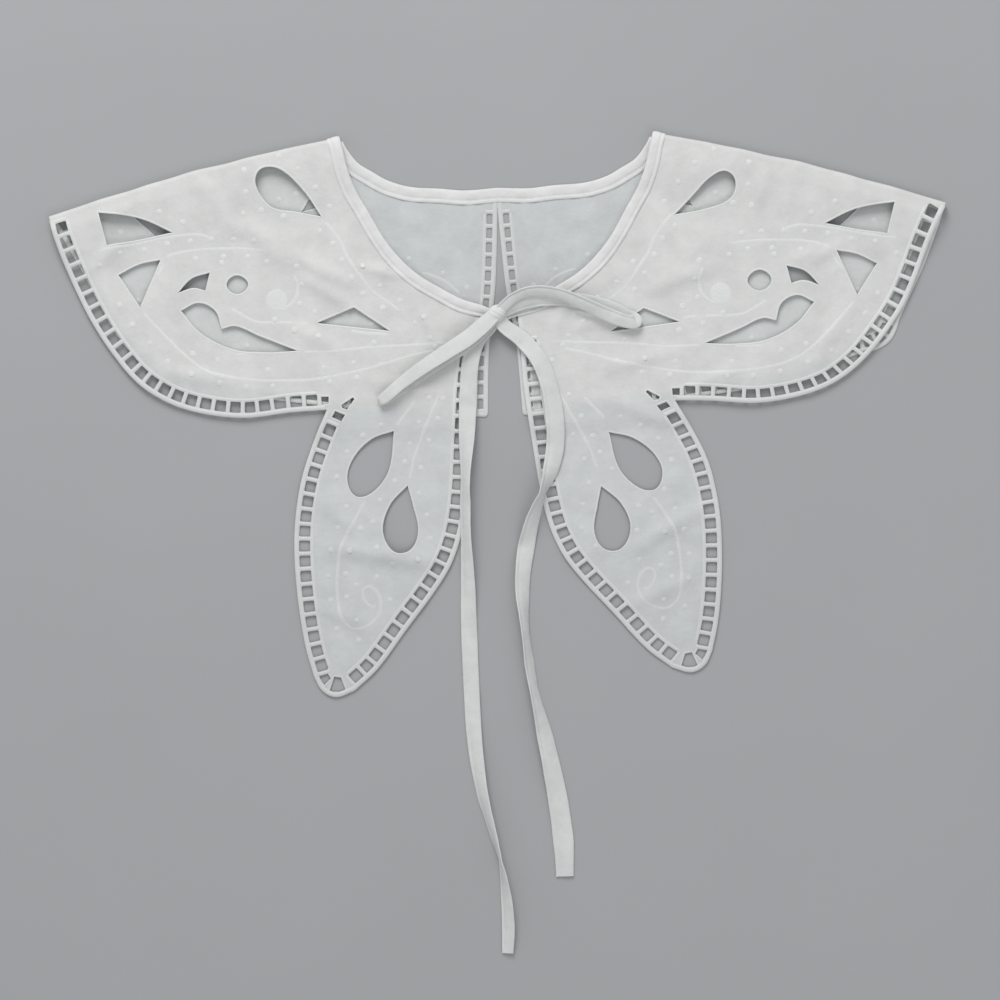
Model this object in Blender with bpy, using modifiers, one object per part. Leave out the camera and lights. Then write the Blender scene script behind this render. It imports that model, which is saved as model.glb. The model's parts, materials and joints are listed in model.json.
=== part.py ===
"""A lace collar of white cotton cutwork, laid flat with its fronts folded over its backs.

Each half is one cloth: a back panel, a fold at the shoulder, and a front with an upper and a lower
wing. Ladder holes run inside its edges, and leaf, drop and eye shapes are cut through it. A bias
binding covers the neck edge, and its two ends are tied in a bow at the front.

Sizes and places below are in millimetres, seen from above: x to the right, y towards the back of
the neck, z up from the table. Tables give the left half, and the right half is its mirror image,
turned a little, as the collar lies.
"""

import math

import bpy
from mathutils import Vector, geometry

MM = 0.001
NAME = "lace_collar"

# Cloth
WALL = 1.0
GAP = 0.3
BACK_Z = WALL / 2
FRONT_Z = WALL * 1.5 + GAP
WING_Z = WALL / 2

# Shoulder fold: a straight line across the half, which the cloth goes round in a soft roll
FOLD_OUTER = Vector((-250.5, 183.5))
FOLD_NECK = Vector((-87.5, 228.0))
FOLD_LIFT = 3.4
FOLD_REACH = 40.0
FOLD_RADIUS = (FRONT_Z + FOLD_LIFT - BACK_Z) / 2
FOLD_BOW = 3.0
FOLD_STEPS = 5
FOLD_STATIONS = 15

# The front steps down to the table where it passes the back's hem
HEM_Y = 68.0
HEM_DROP = 13.0

# Ladder hem: an outer cord, square holes between bars, an inner cord
CORD = 2.2
HOLE = 6.4
BAR = 2.2
PITCH = 8.6
SLIT_HOLE = 3.6
SLIT_PITCH = 7.9

# How far each ladder stops from the first and the last point of its edge
UPPER_ENDS = (1.5, 3.0)
OUTER_ENDS = (5.0, 1.0)
INNER_ENDS = (2.0, 12.0)
HEM_ENDS = (1.5, 9.0)
SLIT_ENDS = (2.0, 10.0)

# Cutwork outlines and the points inside a panel
SMOOTH_STEPS = 10
CURVE_STEP = 4.0
NECK_STEP = 8.0
GRID_STEP = 13.0
GRID_CLEAR = 4.5

# Neck binding
BINDING_FRONT = 7.3
BINDING_BACK = 8.2
BINDING_WALL = 1.0
BINDING_STEP = 7.0
BINDING_THIN = 0.8
BINDING_ROUND = 0.4

# Bow and tie ends
TIE_STEPS = 3
TIE_STEEP = 0.5
KNOT_RADII = Vector((6.2, 5.8, 3.6))
KNOT_CENTRE = Vector((-0.3, 128.8, WALL + GAP + KNOT_RADII.z))
KNOT_SEGMENTS = 16

# How the right half lies: turned about the top of the centre back, its lower wing swung out more
RIGHT_TURN = 1.8
RIGHT_PIVOT = Vector((0.0, 195.0))
WING_SWING = 3.2
WING_PIVOT = Vector((10.0, 110.0))
WING_SWING_TOP = 115.0
WING_SWING_LENGTH = 90.0
RIGHT_WING_LENGTH = 0.97
RIGHT_OPENING = 2.2
OPENING_TOP = 125.0
OPENING_LENGTH = 40.0
OPENING_SIDE = 10.0
OPENING_REACH = 100.0
SLIT_OPENING = 2.6
SLIT_REACH = 80.0

# Colours
COTTON = (0.80, 0.81, 0.80, 1.0)
COTTON_INSIDE = (0.70, 0.72, 0.72, 1.0)
BIAS_COTTON = (0.84, 0.84, 0.83, 1.0)
COTTON_ROUGHNESS = 0.9

# Edges of the left front, as points (x, y) on smooth runs between corners. The right front's
# upper wing lies a little further in, so that the back's hem shows outside it.
UPPER_WING = (
    (-247.5, 172.5), (-243.0, 160.0), (-236.0, 143.5), (-227.0, 125.5), (-215.5, 107.5),
    (-201.0, 90.5), (-184.0, 79.5), (-165.0, 73.5), (-141.0, 71.0), (-116.0, 74.0), (-96.0, 75.5),
)
UPPER_WING_RIGHT = (
    (-245.5, 173.0), (-240.0, 161.0), (-233.5, 144.5), (-225.0, 126.5), (-213.0, 109.5),
    (-199.0, 93.0), (-183.5, 81.0), (-165.0, 74.0), (-141.0, 71.0), (-116.0, 74.0), (-96.0, 75.5),
)
WING_OUTER = (
    (-95.0, 74.5), (-102.5, 56.5), (-109.0, 36.0), (-112.5, 13.5), (-113.0, -6.0),
    (-111.0, -31.5), (-107.0, -56.5), (-102.0, -74.5),
)
WING_TIP = ((-102.0, -74.5), (-97.5, -82.0), (-90.0, -85.3), (-80.0, -81.8))
WING_INNER = (
    (-80.0, -81.8), (-67.0, -69.5), (-50.5, -47.0), (-35.0, -26.0), (-26.0, -11.0), (-20.0, 7.0),
    (-16.8, 30.0), (-15.5, 58.0), (-14.0, 86.0), (-11.5, 111.5), (-9.8, 126.0),
)
NECK_FRONT = (
    (-8.0, 133.5), (-19.5, 137.0), (-32.0, 143.5), (-43.0, 150.0), (-52.5, 158.0), (-62.5, 170.0),
    (-72.0, 186.0), (-79.0, 198.0), (-83.5, 209.5), (-86.0, 220.0),
)

# Edges of the left back. The right back's side hem bulges out past its front.
BACK_SIDE = (
    (-247.5, 178.5), (-239.0, 164.5), (-232.5, 153.5), (-220.0, 130.0), (-213.0, 117.5),
    (-203.5, 106.5), (-187.5, 96.5), (-166.5, 88.5), (-141.0, 83.5), (-116.0, 80.0), (-88.0, 76.5),
    (-54.5, 74.5), (-29.0, 73.0), (-6.5, 71.5),
)
BACK_SIDE_RIGHT = (
    (-246.5, 171.5), (-242.0, 160.0), (-236.5, 147.0), (-230.5, 135.0), (-225.5, 125.0),
    (-222.5, 118.5), (-220.5, 112.5), (-217.0, 107.0), (-210.5, 103.0), (-201.5, 101.0),
    (-187.5, 96.5), (-166.5, 88.5), (-141.0, 83.5), (-116.0, 80.0), (-88.0, 76.5),
    (-54.5, 74.5), (-29.0, 73.0), (-6.5, 71.5),
)
BACK_SLIT = ((-5.5, 72.5), (-4.8, 111.0), (-1.5, 142.0), (-0.3, 178.0), (-0.2, 196.0))
NECK_BACK = (
    (0.0, 199.5), (-18.0, 198.0), (-32.0, 199.0), (-48.5, 200.0), (-61.0, 203.5), (-70.0, 208.5),
    (-78.0, 213.5), (-84.0, 221.0), (-86.5, 225.5),
)

# Cutwork of the left half, as points (x, y, corner), where a corner is sharp and the rest is round
CORNER, ROUND = True, False
SHOULDER_DROP = (
    (-98.0, 183.0, CORNER), (-107.5, 196.5, ROUND), (-121.0, 208.0, ROUND), (-131.5, 207.5, ROUND),
    (-134.5, 199.0, ROUND), (-126.5, 188.0, ROUND), (-113.0, 185.5, ROUND),
)
RIGHT_DROP = (
    (-98.5, 181.0, CORNER), (-109.5, 191.5, ROUND), (-118.0, 199.5, ROUND), (-127.0, 203.0, ROUND),
    (-133.0, 197.5, ROUND), (-130.5, 188.5, ROUND), (-116.0, 183.5, ROUND),
)
BACK_DROP = (
    (-109.5, 185.5, CORNER), (-101.5, 188.0, ROUND), (-93.5, 193.5, ROUND), (-92.5, 200.5, ROUND),
    (-98.5, 201.5, ROUND), (-104.0, 194.5, ROUND),
)
SIDE_LEAF = (
    (-181.0, 174.5, CORNER), (-200.0, 182.0, ROUND), (-222.5, 185.0, CORNER),
    (-218.0, 167.5, CORNER), (-202.5, 170.0, ROUND),
)
BACK_LEAF = (
    (-166.0, 172.0, CORNER), (-184.0, 181.5, ROUND), (-206.5, 185.0, CORNER),
    (-188.0, 168.5, CORNER), (-178.0, 168.5, ROUND),
)
SIDE_TRIANGLE = (
    (-212.0, 150.5, CORNER), (-199.5, 132.0, CORNER), (-188.0, 159.0, CORNER), (-200.0, 156.5, ROUND),
)
CRESCENT = (
    (-179.0, 140.0, CORNER), (-170.0, 143.0, ROUND), (-163.0, 141.5, CORNER), (-160.5, 152.0, CORNER),
    (-171.0, 148.5, ROUND),
)
EYELET = ((-151.5, 145.0, ROUND), (-145.5, 139.5, ROUND), (-139.0, 145.0, ROUND), (-145.5, 150.5, ROUND))
WING_EYE = (
    (-177.0, 130.5, CORNER), (-166.0, 118.0, ROUND), (-148.0, 108.8, ROUND), (-128.0, 107.0, ROUND),
    (-111.0, 108.0, CORNER), (-133.0, 116.5, ROUND), (-146.0, 122.0, ROUND), (-154.0, 120.5, CORNER),
    (-157.5, 130.5, ROUND), (-167.0, 135.0, ROUND),
)
FRONT_TRIANGLE = ((-101.5, 123.5, CORNER), (-59.5, 119.0, CORNER), (-80.0, 132.5, CORNER))
UPPER_DROP = (
    (-57.5, 63.5, CORNER), (-70.0, 59.0, ROUND), (-80.0, 49.0, ROUND), (-84.0, 37.0, ROUND),
    (-79.5, 26.8, ROUND), (-70.0, 28.5, ROUND), (-60.5, 41.0, ROUND),
)
LOWER_DROP = (
    (-50.0, 33.0, CORNER), (-60.0, 22.0, ROUND), (-64.0, 7.5, ROUND), (-58.0, -4.2, ROUND),
    (-48.5, -3.5, ROUND), (-44.0, 7.0, ROUND), (-47.0, 22.0, ROUND),
)
NOTCH_GUSSET = ((-92.5, 80.0, CORNER), (-90.0, 74.0, CORNER), (-78.5, 82.5, CORNER))
TIP_GUSSET = ((-96.5, -75.0, CORNER), (-90.5, -80.5, CORNER), (-83.5, -77.0, CORNER), (-91.5, -70.5, CORNER))

# Where each shape is cut, as rows of (shape, shift x, shift y, size)
CUTWORK_LEFT = (
    (SHOULDER_DROP, 0.0, 0.0, 1.0), (SIDE_LEAF, 0.0, -1.2, 1.0), (SIDE_TRIANGLE, 0.0, 0.0, 1.0),
    (CRESCENT, 0.0, 0.0, 1.0), (EYELET, 0.0, 0.0, 1.0), (WING_EYE, 0.0, 0.0, 1.0),
    (FRONT_TRIANGLE, 0.0, 0.0, 1.0), (UPPER_DROP, 0.0, 0.0, 1.0), (LOWER_DROP, 0.0, 0.0, 1.0),
    (NOTCH_GUSSET, 0.0, 0.0, 1.0), (TIP_GUSSET, 0.0, 0.0, 1.0),
)
CUTWORK_RIGHT = (
    (RIGHT_DROP, 0.0, 0.0, 1.0), (SIDE_LEAF, 0.0, -1.7, 0.95), (SIDE_TRIANGLE, 0.0, 0.0, 0.95),
    (CRESCENT, 0.0, -1.0, 1.0), (EYELET, 0.0, -2.0, 1.1), (WING_EYE, 0.0, 0.0, 0.95),
    (FRONT_TRIANGLE, 0.0, -2.5, 0.95), (UPPER_DROP, 0.0, -5.5, 1.0), (LOWER_DROP, 0.0, -7.0, 1.0),
    (NOTCH_GUSSET, 0.0, 0.0, 1.0), (TIP_GUSSET, 0.0, 0.0, 1.0),
)
CUTWORK_BACK = ((BACK_DROP, 0.0, 0.0, 1.0), (BACK_LEAF, 0.0, 0.0, 1.0), (CRESCENT, 0.0, 0.0, 1.35))

# Soft folds pressed into the left front: start (x, y), end (x, y), half width, height.
# Each one begins and ends at this share of its wave.
SOFT_END = 0.15
SOFT_FOLDS = (
    ((-84.0, 152.0), (-50.0, 146.0), 6.0, 0.8),
    ((-128.0, 178.0), (-96.0, 146.0), 9.0, 1.0),
    ((-206.0, 116.0), (-168.0, 168.0), 11.0, 1.2),
    ((-96.0, 30.0), (-34.0, -14.0), 12.0, 1.0),
)

# Levels that the ties rest on
TABLE = 0.1
ON_WING = WALL + GAP
ON_FRONT = FRONT_Z + WALL / 2 + GAP
ON_BINDING = ON_FRONT + WALL + GAP
ON_TIE = ON_FRONT + WALL + GAP

# Ties, as rows of (x, y, level that the lower edge rests on, width, roll in degrees)
TIE_END_LEFT = (
    (-3.6, 122.4, ON_FRONT, 7.5, 12.0), (-10.4, 113.6, ON_FRONT, 9.0, 0.0),
    (-14.2, 101.0, ON_FRONT, 9.4, 0.0), (-15.5, 82.5, ON_FRONT, 9.0, 0.0),
    (-16.2, 67.0, ON_FRONT, 9.0, 10.0), (-17.0, 50.0, ON_WING + 0.5, 8.5, 35.0),
    (-17.8, 31.0, ON_WING, 8.5, 55.0), (-17.6, 12.0, ON_WING, 8.5, 50.0),
    (-17.0, -4.0, ON_WING, 8.5, 40.0), (-16.3, -22.0, TABLE, 8.5, 20.0),
    (-15.8, -42.5, TABLE, 9.0, 0.0), (-14.5, -76.0, TABLE, 9.0, 0.0),
    (-12.5, -110.0, TABLE, 8.8, 15.0), (-8.5, -138.0, TABLE, 8.6, 40.0),
    (-3.0, -159.0, TABLE, 8.4, 62.0), (2.0, -177.0, TABLE, 8.4, 75.0),
    (5.0, -196.0, TABLE, 8.4, 50.0), (6.3, -213.5, TABLE, 8.0, 25.0), (6.0, -229.0, TABLE, 6.5, 10.0),
)
TIE_END_RIGHT = (
    (3.8, 122.2, ON_FRONT, 8.0, -15.0), (14.0, 114.5, ON_FRONT, 9.5, -10.0),
    (23.5, 103.0, ON_FRONT, 10.0, -20.0), (29.2, 88.5, ON_FRONT, 10.5, -20.0),
    (32.3, 71.0, ON_FRONT + 0.2, 10.5, -10.0), (32.5, 55.0, ON_WING + 1.0, 10.5, -10.0),
    (29.8, 41.0, ON_WING + 0.3, 10.0, -35.0), (25.0, 28.0, ON_WING, 9.5, -70.0),
    (20.0, 14.0, ON_WING, 9.5, -35.0), (16.3, -2.0, TABLE, 9.8, -10.0),
    (14.3, -20.0, TABLE, 9.6, -30.0), (14.8, -38.0, TABLE, 9.6, -55.0),
    (17.0, -59.0, TABLE, 9.6, -62.0), (20.5, -81.0, TABLE, 9.6, -60.0),
    (25.5, -102.0, TABLE, 10.0, -40.0), (30.0, -122.0, TABLE, 10.6, -20.0),
    (34.5, -146.0, TABLE, 11.4, 0.0), (37.3, -168.0, TABLE, 11.4, 0.0), (38.0, -186.0, TABLE, 10.0, 0.0),
)
LOOP_LEFT = (
    (-5.6, 122.8, ON_TIE, 6.5, 12.0), (-15.5, 113.2, ON_TIE, 8.4, 0.0),
    (-31.0, 103.8, ON_FRONT + 0.6, 9.2, 0.0), (-45.0, 95.0, ON_FRONT, 9.0, 0.0),
    (-56.5, 87.0, ON_FRONT, 7.5, 0.0), (-63.0, 81.8, ON_FRONT + 0.3, 6.0, 0.0),
    (-66.4, 79.2, ON_FRONT + 1.9, 5.2, 0.0),
    (-63.0, 82.2, ON_FRONT + 3.4, 6.0, 0.0), (-55.5, 88.6, ON_FRONT + 3.8, 7.5, 0.0),
    (-43.5, 97.2, ON_FRONT + 4.2, 9.0, 0.0), (-29.5, 106.2, ON_FRONT + 4.4, 9.2, 0.0),
    (-15.5, 115.6, ON_FRONT + 4.4, 8.4, 0.0), (-6.0, 124.0, ON_FRONT + 4.0, 6.5, 8.0),
)
LOOP_RIGHT = (
    (7.2, 129.6, ON_BINDING, 6.5, 10.0), (17.0, 132.6, ON_BINDING, 7.5, 12.0),
    (30.0, 134.0, ON_BINDING, 8.0, 12.0), (44.0, 131.2, ON_FRONT + 0.8, 8.0, 12.0),
    (58.0, 125.8, ON_FRONT, 7.5, 8.0), (70.0, 120.8, ON_FRONT + 0.2, 6.5, 0.0),
    (77.4, 118.2, ON_FRONT + 2.0, 5.6, 0.0),
    (70.0, 122.4, ON_FRONT + 3.8, 6.8, -8.0), (58.0, 129.6, ON_FRONT + 4.2, 8.0, -16.0),
    (44.0, 135.4, ON_FRONT + 4.6, 8.4, -24.0), (30.0, 139.2, ON_FRONT + 4.8, 8.4, -32.0),
    (17.0, 138.6, ON_FRONT + 4.2, 8.0, -28.0), (6.9, 132.2, ON_FRONT + 3.4, 6.5, -15.0),
)


def smoothstep(value):
    """0 below 0, 1 above 1, and a soft rise between."""
    value = min(max(value, 0.0), 1.0)
    return value * value * (3.0 - 2.0 * value)


def smooth(points, steps=SMOOTH_STEPS):
    """A smooth run through the points, with `steps` stretches between two of them."""
    points = [Vector(point) for point in points]
    run = [points[0]]
    for i in range(len(points) - 1):
        start, end = points[i], points[i + 1]
        before = points[max(i - 1, 0)]
        after = points[min(i + 2, len(points) - 1)]
        reach = (end - start).length / 3.0
        leave = start + (end - before).normalized() * reach
        arrive = end - (after - start).normalized() * reach
        run += geometry.interpolate_bezier(start, leave, arrive, end, steps + 1)[1:]
    return run


def run_length(run):
    return sum((b - a).length for a, b in zip(run, run[1:]))


def at(run, distance):
    """The point this far along a flat run, and the direction to its left."""
    walked = 0.0
    for a, b in zip(run, run[1:]):
        stretch = (b - a).length
        if stretch and walked + stretch >= distance:
            break
        walked += stretch
    along = (b - a).normalized()
    return a + along * (distance - walked), Vector((-along.y, along.x))


def spaced(run, step, offset=0.0):
    """Points about `step` apart on a flat run, moved to its left by `offset`."""
    total = run_length(run)
    count = max(round(total / step), 2)
    found = []
    for i in range(count + 1):
        point, left = at(run, total * i / count)
        found.append(point + left * offset)
    return found


def ladder(run, ends, hole=HOLE, wanted_pitch=PITCH):
    """The edge points of a run and its ladder holes, which stop short of its two ends."""
    first, last = ends
    usable = run_length(run) - first - last
    count = round(usable / wanted_pitch)
    pitch = usable / count
    edge, holes = [run[0]], []
    for k in range(count):
        start, start_in = at(run, first + k * pitch + BAR / 2)
        end, end_in = at(run, first + (k + 1) * pitch - BAR / 2)
        edge += [start, end]
        holes.append([
            start + start_in * CORD,
            end + end_in * CORD,
            end + end_in * (CORD + hole),
            start + start_in * (CORD + hole),
        ])
    return edge + [run[-1]], holes


def cutwork(rows, shift_x, shift_y, size):
    """The closed outline of a hole, sharp at its corners and round between them."""
    points = [Vector(row[:2]) for row in rows]
    count = len(points)
    middle = sum(points, Vector((0.0, 0.0))) / count
    points = [middle + (point - middle) * size + Vector((shift_x, shift_y)) for point in points]
    corners = [i for i, row in enumerate(rows) if row[2]]
    if not corners:
        ring = smooth(points[-1:] + points + points[:2])
        return spaced(ring[SMOOTH_STEPS:SMOOTH_STEPS * (count + 1) + 1], CURVE_STEP)[:-1]
    outline = []
    for first, last in zip(corners, corners[1:] + [corners[0] + count]):
        run = smooth([points[i % count] for i in range(first, last + 1)])
        outline += spaced(run, CURVE_STEP)[:-1]
    return outline


def inside(point, outline):
    """True where the point lies within a closed outline."""
    crossings = 0
    for a, b in zip(outline, outline[1:] + outline[:1]):
        if (a.y > point.y) != (b.y > point.y):
            crossings += point.x < a.x + (point.y - a.y) / (b.y - a.y) * (b.x - a.x)
    return crossings % 2 == 1


def clear_of(point, outline, distance):
    """True where the point is at least this far from a closed outline."""
    for a, b in zip(outline, outline[1:] + outline[:1]):
        nearest, share = geometry.intersect_point_line(point, a, b)
        nearest = a if share < 0.0 else b if share > 1.0 else nearest
        if (Vector(nearest[:2]) - point).length < distance:
            return False
    return True


def ring_edges(first, count):
    return [(first + i, first + (i + 1) % count) for i in range(count)]


def fold_frame():
    """The fold line's start, its direction, its outward side, its length and its roll's length."""
    line = FOLD_NECK - FOLD_OUTER
    along = line.normalized()
    outward = Vector((-along.y, along.x))
    start = FOLD_OUTER - outward * (FOLD_RADIUS + WALL / 2)
    return start, along, outward, line.length, math.pi * FOLD_RADIUS


def soft_fold_height(point):
    height = 0.0
    for start, end, half_width, rise in SOFT_FOLDS:
        start, end = Vector(start), Vector(end)
        line = end - start
        share = min(max((point - start).dot(line) / line.length_squared, 0.0), 1.0)
        aside = (point - start - line * share).length / half_width
        wave = SOFT_END + (1.0 - 2.0 * SOFT_END) * share
        height += rise * math.exp(-aside * aside) * math.sin(math.pi * wave)
    return height


def fold_bow(point):
    """How far the shoulder fold bows outward here."""
    start, along, outward, length, _ = fold_frame()
    share = min(max((point - start).dot(along) / length, 0.0), 1.0)
    inward = max(-(point - start).dot(outward), 0.0)
    return outward * FOLD_BOW * math.sin(math.pi * share) * (1.0 - smoothstep(inward / FOLD_REACH))


def on_front(point):
    """A point of the front's flat cut, laid on the back and round the shoulder fold."""
    start, _, outward, _, _ = fold_frame()
    point = Vector(point[:2])
    past = (point - start).dot(outward)
    bowed = point + fold_bow(point)
    if past > 0.0:
        angle = min(past / FOLD_RADIUS, math.pi)
        reach = outward * (FOLD_RADIUS * math.sin(angle) - past)
        level = FRONT_Z + FOLD_LIFT - FOLD_RADIUS * (1.0 - math.cos(angle))
        return Vector((*(bowed + reach), level))
    level = FRONT_Z + FOLD_LIFT * (1.0 - smoothstep(-past / FOLD_REACH))
    level += (WING_Z - FRONT_Z) * smoothstep((HEM_Y - point.y) / HEM_DROP)
    return Vector((*bowed, level + soft_fold_height(point)))


def on_table(point):
    """A point of the back's flat cut."""
    return Vector((*(point + fold_bow(point)), BACK_Z))


def place_left(point):
    return point


def turned(point, pivot, degrees, length=1.0):
    """The point turned anticlockwise about an upright axis, its distance along y drawn in first."""
    angle = math.radians(degrees)
    x, y = point.x - pivot.x, (point.y - pivot.y) * length
    return Vector((
        pivot.x + x * math.cos(angle) - y * math.sin(angle),
        pivot.y + x * math.sin(angle) + y * math.cos(angle),
        point.z,
    ))


def place_right(point):
    """The mirror image, turned about the centre back, its wing swung out and wider at the opening."""
    below = smoothstep((OPENING_TOP - point.y) / OPENING_LENGTH)
    beside = 1.0 - smoothstep((-point.x - OPENING_SIDE) / OPENING_REACH)
    mirrored = Vector((-point.x - RIGHT_OPENING * below * beside, point.y, point.z))
    placed = turned(mirrored, RIGHT_PIVOT, RIGHT_TURN)
    share = smoothstep((WING_SWING_TOP - point.y) / WING_SWING_LENGTH)
    length = 1.0 + (RIGHT_WING_LENGTH - 1.0) * share
    return turned(placed, WING_PIVOT, WING_SWING * share, length)


def place_right_back(point):
    """The mirror image, turned about the centre back, more so beside the slit."""
    share = smoothstep(1.0 + point.x / SLIT_REACH)
    mirrored = Vector((-point.x, point.y, point.z))
    return turned(mirrored, RIGHT_PIVOT, RIGHT_TURN + SLIT_OPENING * share)


def cotton(name, colour):
    material = bpy.data.materials.new(name)
    material.use_nodes = True
    shader = material.node_tree.nodes["Principled BSDF"]
    shader.inputs["Base Color"].default_value = colour
    shader.inputs["Roughness"].default_value = COTTON_ROUGHNESS
    shader.inputs["Metallic"].default_value = 0.0
    return material


def add_object(name, points, faces, colour, thickness=None):
    """A mesh object of the collar, given a wall where it is an open surface."""
    mesh = bpy.data.meshes.new(name)
    mesh.from_pydata([Vector(point) * MM for point in points], [], faces)
    mesh.materials.append(cotton(name, colour))
    piece = bpy.data.objects.new(name, mesh)
    bpy.data.collections[NAME].objects.link(piece)
    piece.parent = bpy.data.objects[NAME + "_centre"]
    if thickness:
        wall = piece.modifiers.new("wall", "SOLIDIFY")
        wall.thickness = thickness * MM
        wall.offset = 0.0
    return piece


def panel(name, outline, holes, extra, lay, place, colour):
    """A cloth wall: its flat cut is filled with triangles round the holes, then laid and placed."""
    print(name, len(holes), "holes cut through")
    points, edges = list(outline), ring_edges(0, len(outline))
    for hole in holes:
        edges += ring_edges(len(points), len(hole))
        points += hole
    points += extra
    filled = geometry.delaunay_2d_cdt(points, edges, [], 1, 1e-5)
    faces = []
    for face in filled[2]:
        middle = sum((filled[0][i] for i in face), Vector((0.0, 0.0))) / 3.0
        if not any(inside(middle, hole) for hole in holes):
            faces.append(face)
    if place is not place_left:
        faces = [face[::-1] for face in faces]
    return add_object(name, [place(lay(point)) for point in filled[0]], faces, colour, WALL)


def grid_points(outline, holes):
    """Points inside a panel, clear of its edge and holes and short of the fold."""
    start, _, outward, _, _ = fold_frame()
    low = Vector((min(p.x for p in outline), min(p.y for p in outline)))
    high = Vector((max(p.x for p in outline), max(p.y for p in outline)))
    found = []
    for row in range(int((high.y - low.y) / GRID_STEP) + 1):
        for column in range(int((high.x - low.x) / GRID_STEP) + 1):
            point = low + Vector(((column + 0.5 * (row % 2)) * GRID_STEP, row * GRID_STEP))
            past = (point - start).dot(outward)
            if past > -GRID_STEP / 2 or not inside(point, outline):
                continue
            if any(inside(point, hole) for hole in holes):
                continue
            if all(clear_of(point, ring, GRID_CLEAR) for ring in [outline] + holes):
                found.append(point)
    return found


def neck_edge(run):
    """The panel's own neck edge, hidden inside the binding."""
    return spaced(smooth(run), NECK_STEP, BINDING_WALL + GAP)


def make_front(side, place, upper_wing, shapes):
    start, along, outward, _, roll = fold_frame()
    upper, upper_holes = ladder(smooth((start, *upper_wing)), UPPER_ENDS)
    outer, outer_holes = ladder(smooth(WING_OUTER), OUTER_ENDS)
    tip = spaced(smooth(WING_TIP), CURVE_STEP)[1:-1]
    inner, inner_holes = ladder(smooth(WING_INNER), INNER_ENDS)
    neck = neck_edge(NECK_FRONT)
    reach = (neck[-1] - start).dot(along)
    stations = [start + along * reach * i / FOLD_STATIONS for i in range(FOLD_STATIONS + 1)]
    rolls = [outward * roll * k / FOLD_STEPS for k in range(FOLD_STEPS + 1)]
    outline = upper + outer + tip + inner + neck
    outline += [stations[-1] + step for step in rolls]
    outline += [station + rolls[-1] for station in reversed(stations[1:-1])]
    outline += [start + step for step in reversed(rolls[1:])]
    holes = upper_holes + outer_holes + inner_holes + [cutwork(*row) for row in shapes]
    extra = [station + step for station in stations[1:-1] for step in rolls[:-1]]
    extra += grid_points(outline, holes)
    panel("front_" + side, outline, holes, extra, on_front, place, COTTON)


def make_back(side, place, back_side):
    start, along, outward, length, _ = fold_frame()
    start = start - outward * GAP
    hem, hem_holes = ladder(smooth((start, *back_side)), HEM_ENDS)
    slit, slit_holes = ladder(smooth(BACK_SLIT), SLIT_ENDS, SLIT_HOLE, SLIT_PITCH)
    neck = neck_edge(NECK_BACK)
    reach = (neck[-1] - start).dot(along)
    top = [start + along * reach * i / FOLD_STATIONS for i in range(FOLD_STATIONS, 0, -1)]
    outline = hem + slit + neck[1:] + top
    holes = hem_holes + slit_holes + [cutwork(*row) for row in CUTWORK_BACK]
    panel("back_" + side, outline, holes, [], on_table, place, COTTON_INSIDE)


def loft(name, sections, colour):
    """A closed solid through sections with the same number of points."""
    count = len(sections[0])
    points = [point for section in sections for point in section]
    faces = [list(range(count))[::-1], list(range(len(points) - count, len(points)))]
    for row in range(len(sections) - 1):
        for i in range(count):
            near, far = row * count, (row + 1) * count
            j = (i + 1) % count
            faces.append((near + i, near + j, far + j, far + i))
    return add_object(name, points, faces, colour)


def binding_section(point, into, width, lay):
    """A binding's cut end: a leaf over the cloth and a lip round its edge."""
    cloth, leaf = WALL / 2, WALL / 2 + GAP
    corners = (
        (0.0, -cloth), (BINDING_WALL, -cloth), (BINDING_WALL, leaf), (width, leaf),
        (width, leaf + BINDING_WALL * BINDING_THIN), (width / 2, leaf + BINDING_WALL),
        (BINDING_WALL * (1.0 - BINDING_ROUND), leaf + BINDING_WALL),
        (0.0, leaf + BINDING_WALL * BINDING_ROUND),
    )
    section = []
    for aside, above in corners:
        spot = lay(point + into * aside)
        section.append(spot + Vector((0.0, 0.0, above)))
    return section


def binding_sections(run, width, lay, place):
    run = smooth(run)
    count = round(run_length(run) / BINDING_STEP)
    sections = []
    for i in range(count + 1):
        point, into = at(run, run_length(run) * i / count)
        sections.append([place(spot) for spot in binding_section(point, into, width, lay)])
    return sections


def make_bindings():
    for side, place in (("left", place_left), ("right", place_right)):
        sections = binding_sections(NECK_FRONT, BINDING_FRONT, on_front, place)
        if side == "right":
            sections = sections[::-1]
        loft("binding_front_" + side, sections, BIAS_COTTON)
    left = binding_sections(NECK_BACK, BINDING_BACK, on_table, place_left)
    right = binding_sections(NECK_BACK, BINDING_BACK, on_table, place_right_back)
    loft("binding_back", right[:0:-1] + left, BIAS_COTTON)


def make_knot():
    bpy.ops.mesh.primitive_uv_sphere_add(
        segments=KNOT_SEGMENTS, ring_count=KNOT_SEGMENTS // 2, radius=1.0
    )
    knot = bpy.context.object
    knot.name = knot.data.name = "bow_knot"
    for vertex in knot.data.vertices:
        vertex.co = Vector([c * r for c, r in zip(vertex.co, KNOT_RADII * MM)])
    knot.location = KNOT_CENTRE * MM
    knot.data.shade_smooth()
    knot.data.materials.append(cotton("bow_knot", BIAS_COTTON))
    knot.users_collection[0].objects.unlink(knot)
    bpy.data.collections[NAME].objects.link(knot)
    knot.parent = bpy.data.objects[NAME + "_centre"]


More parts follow.
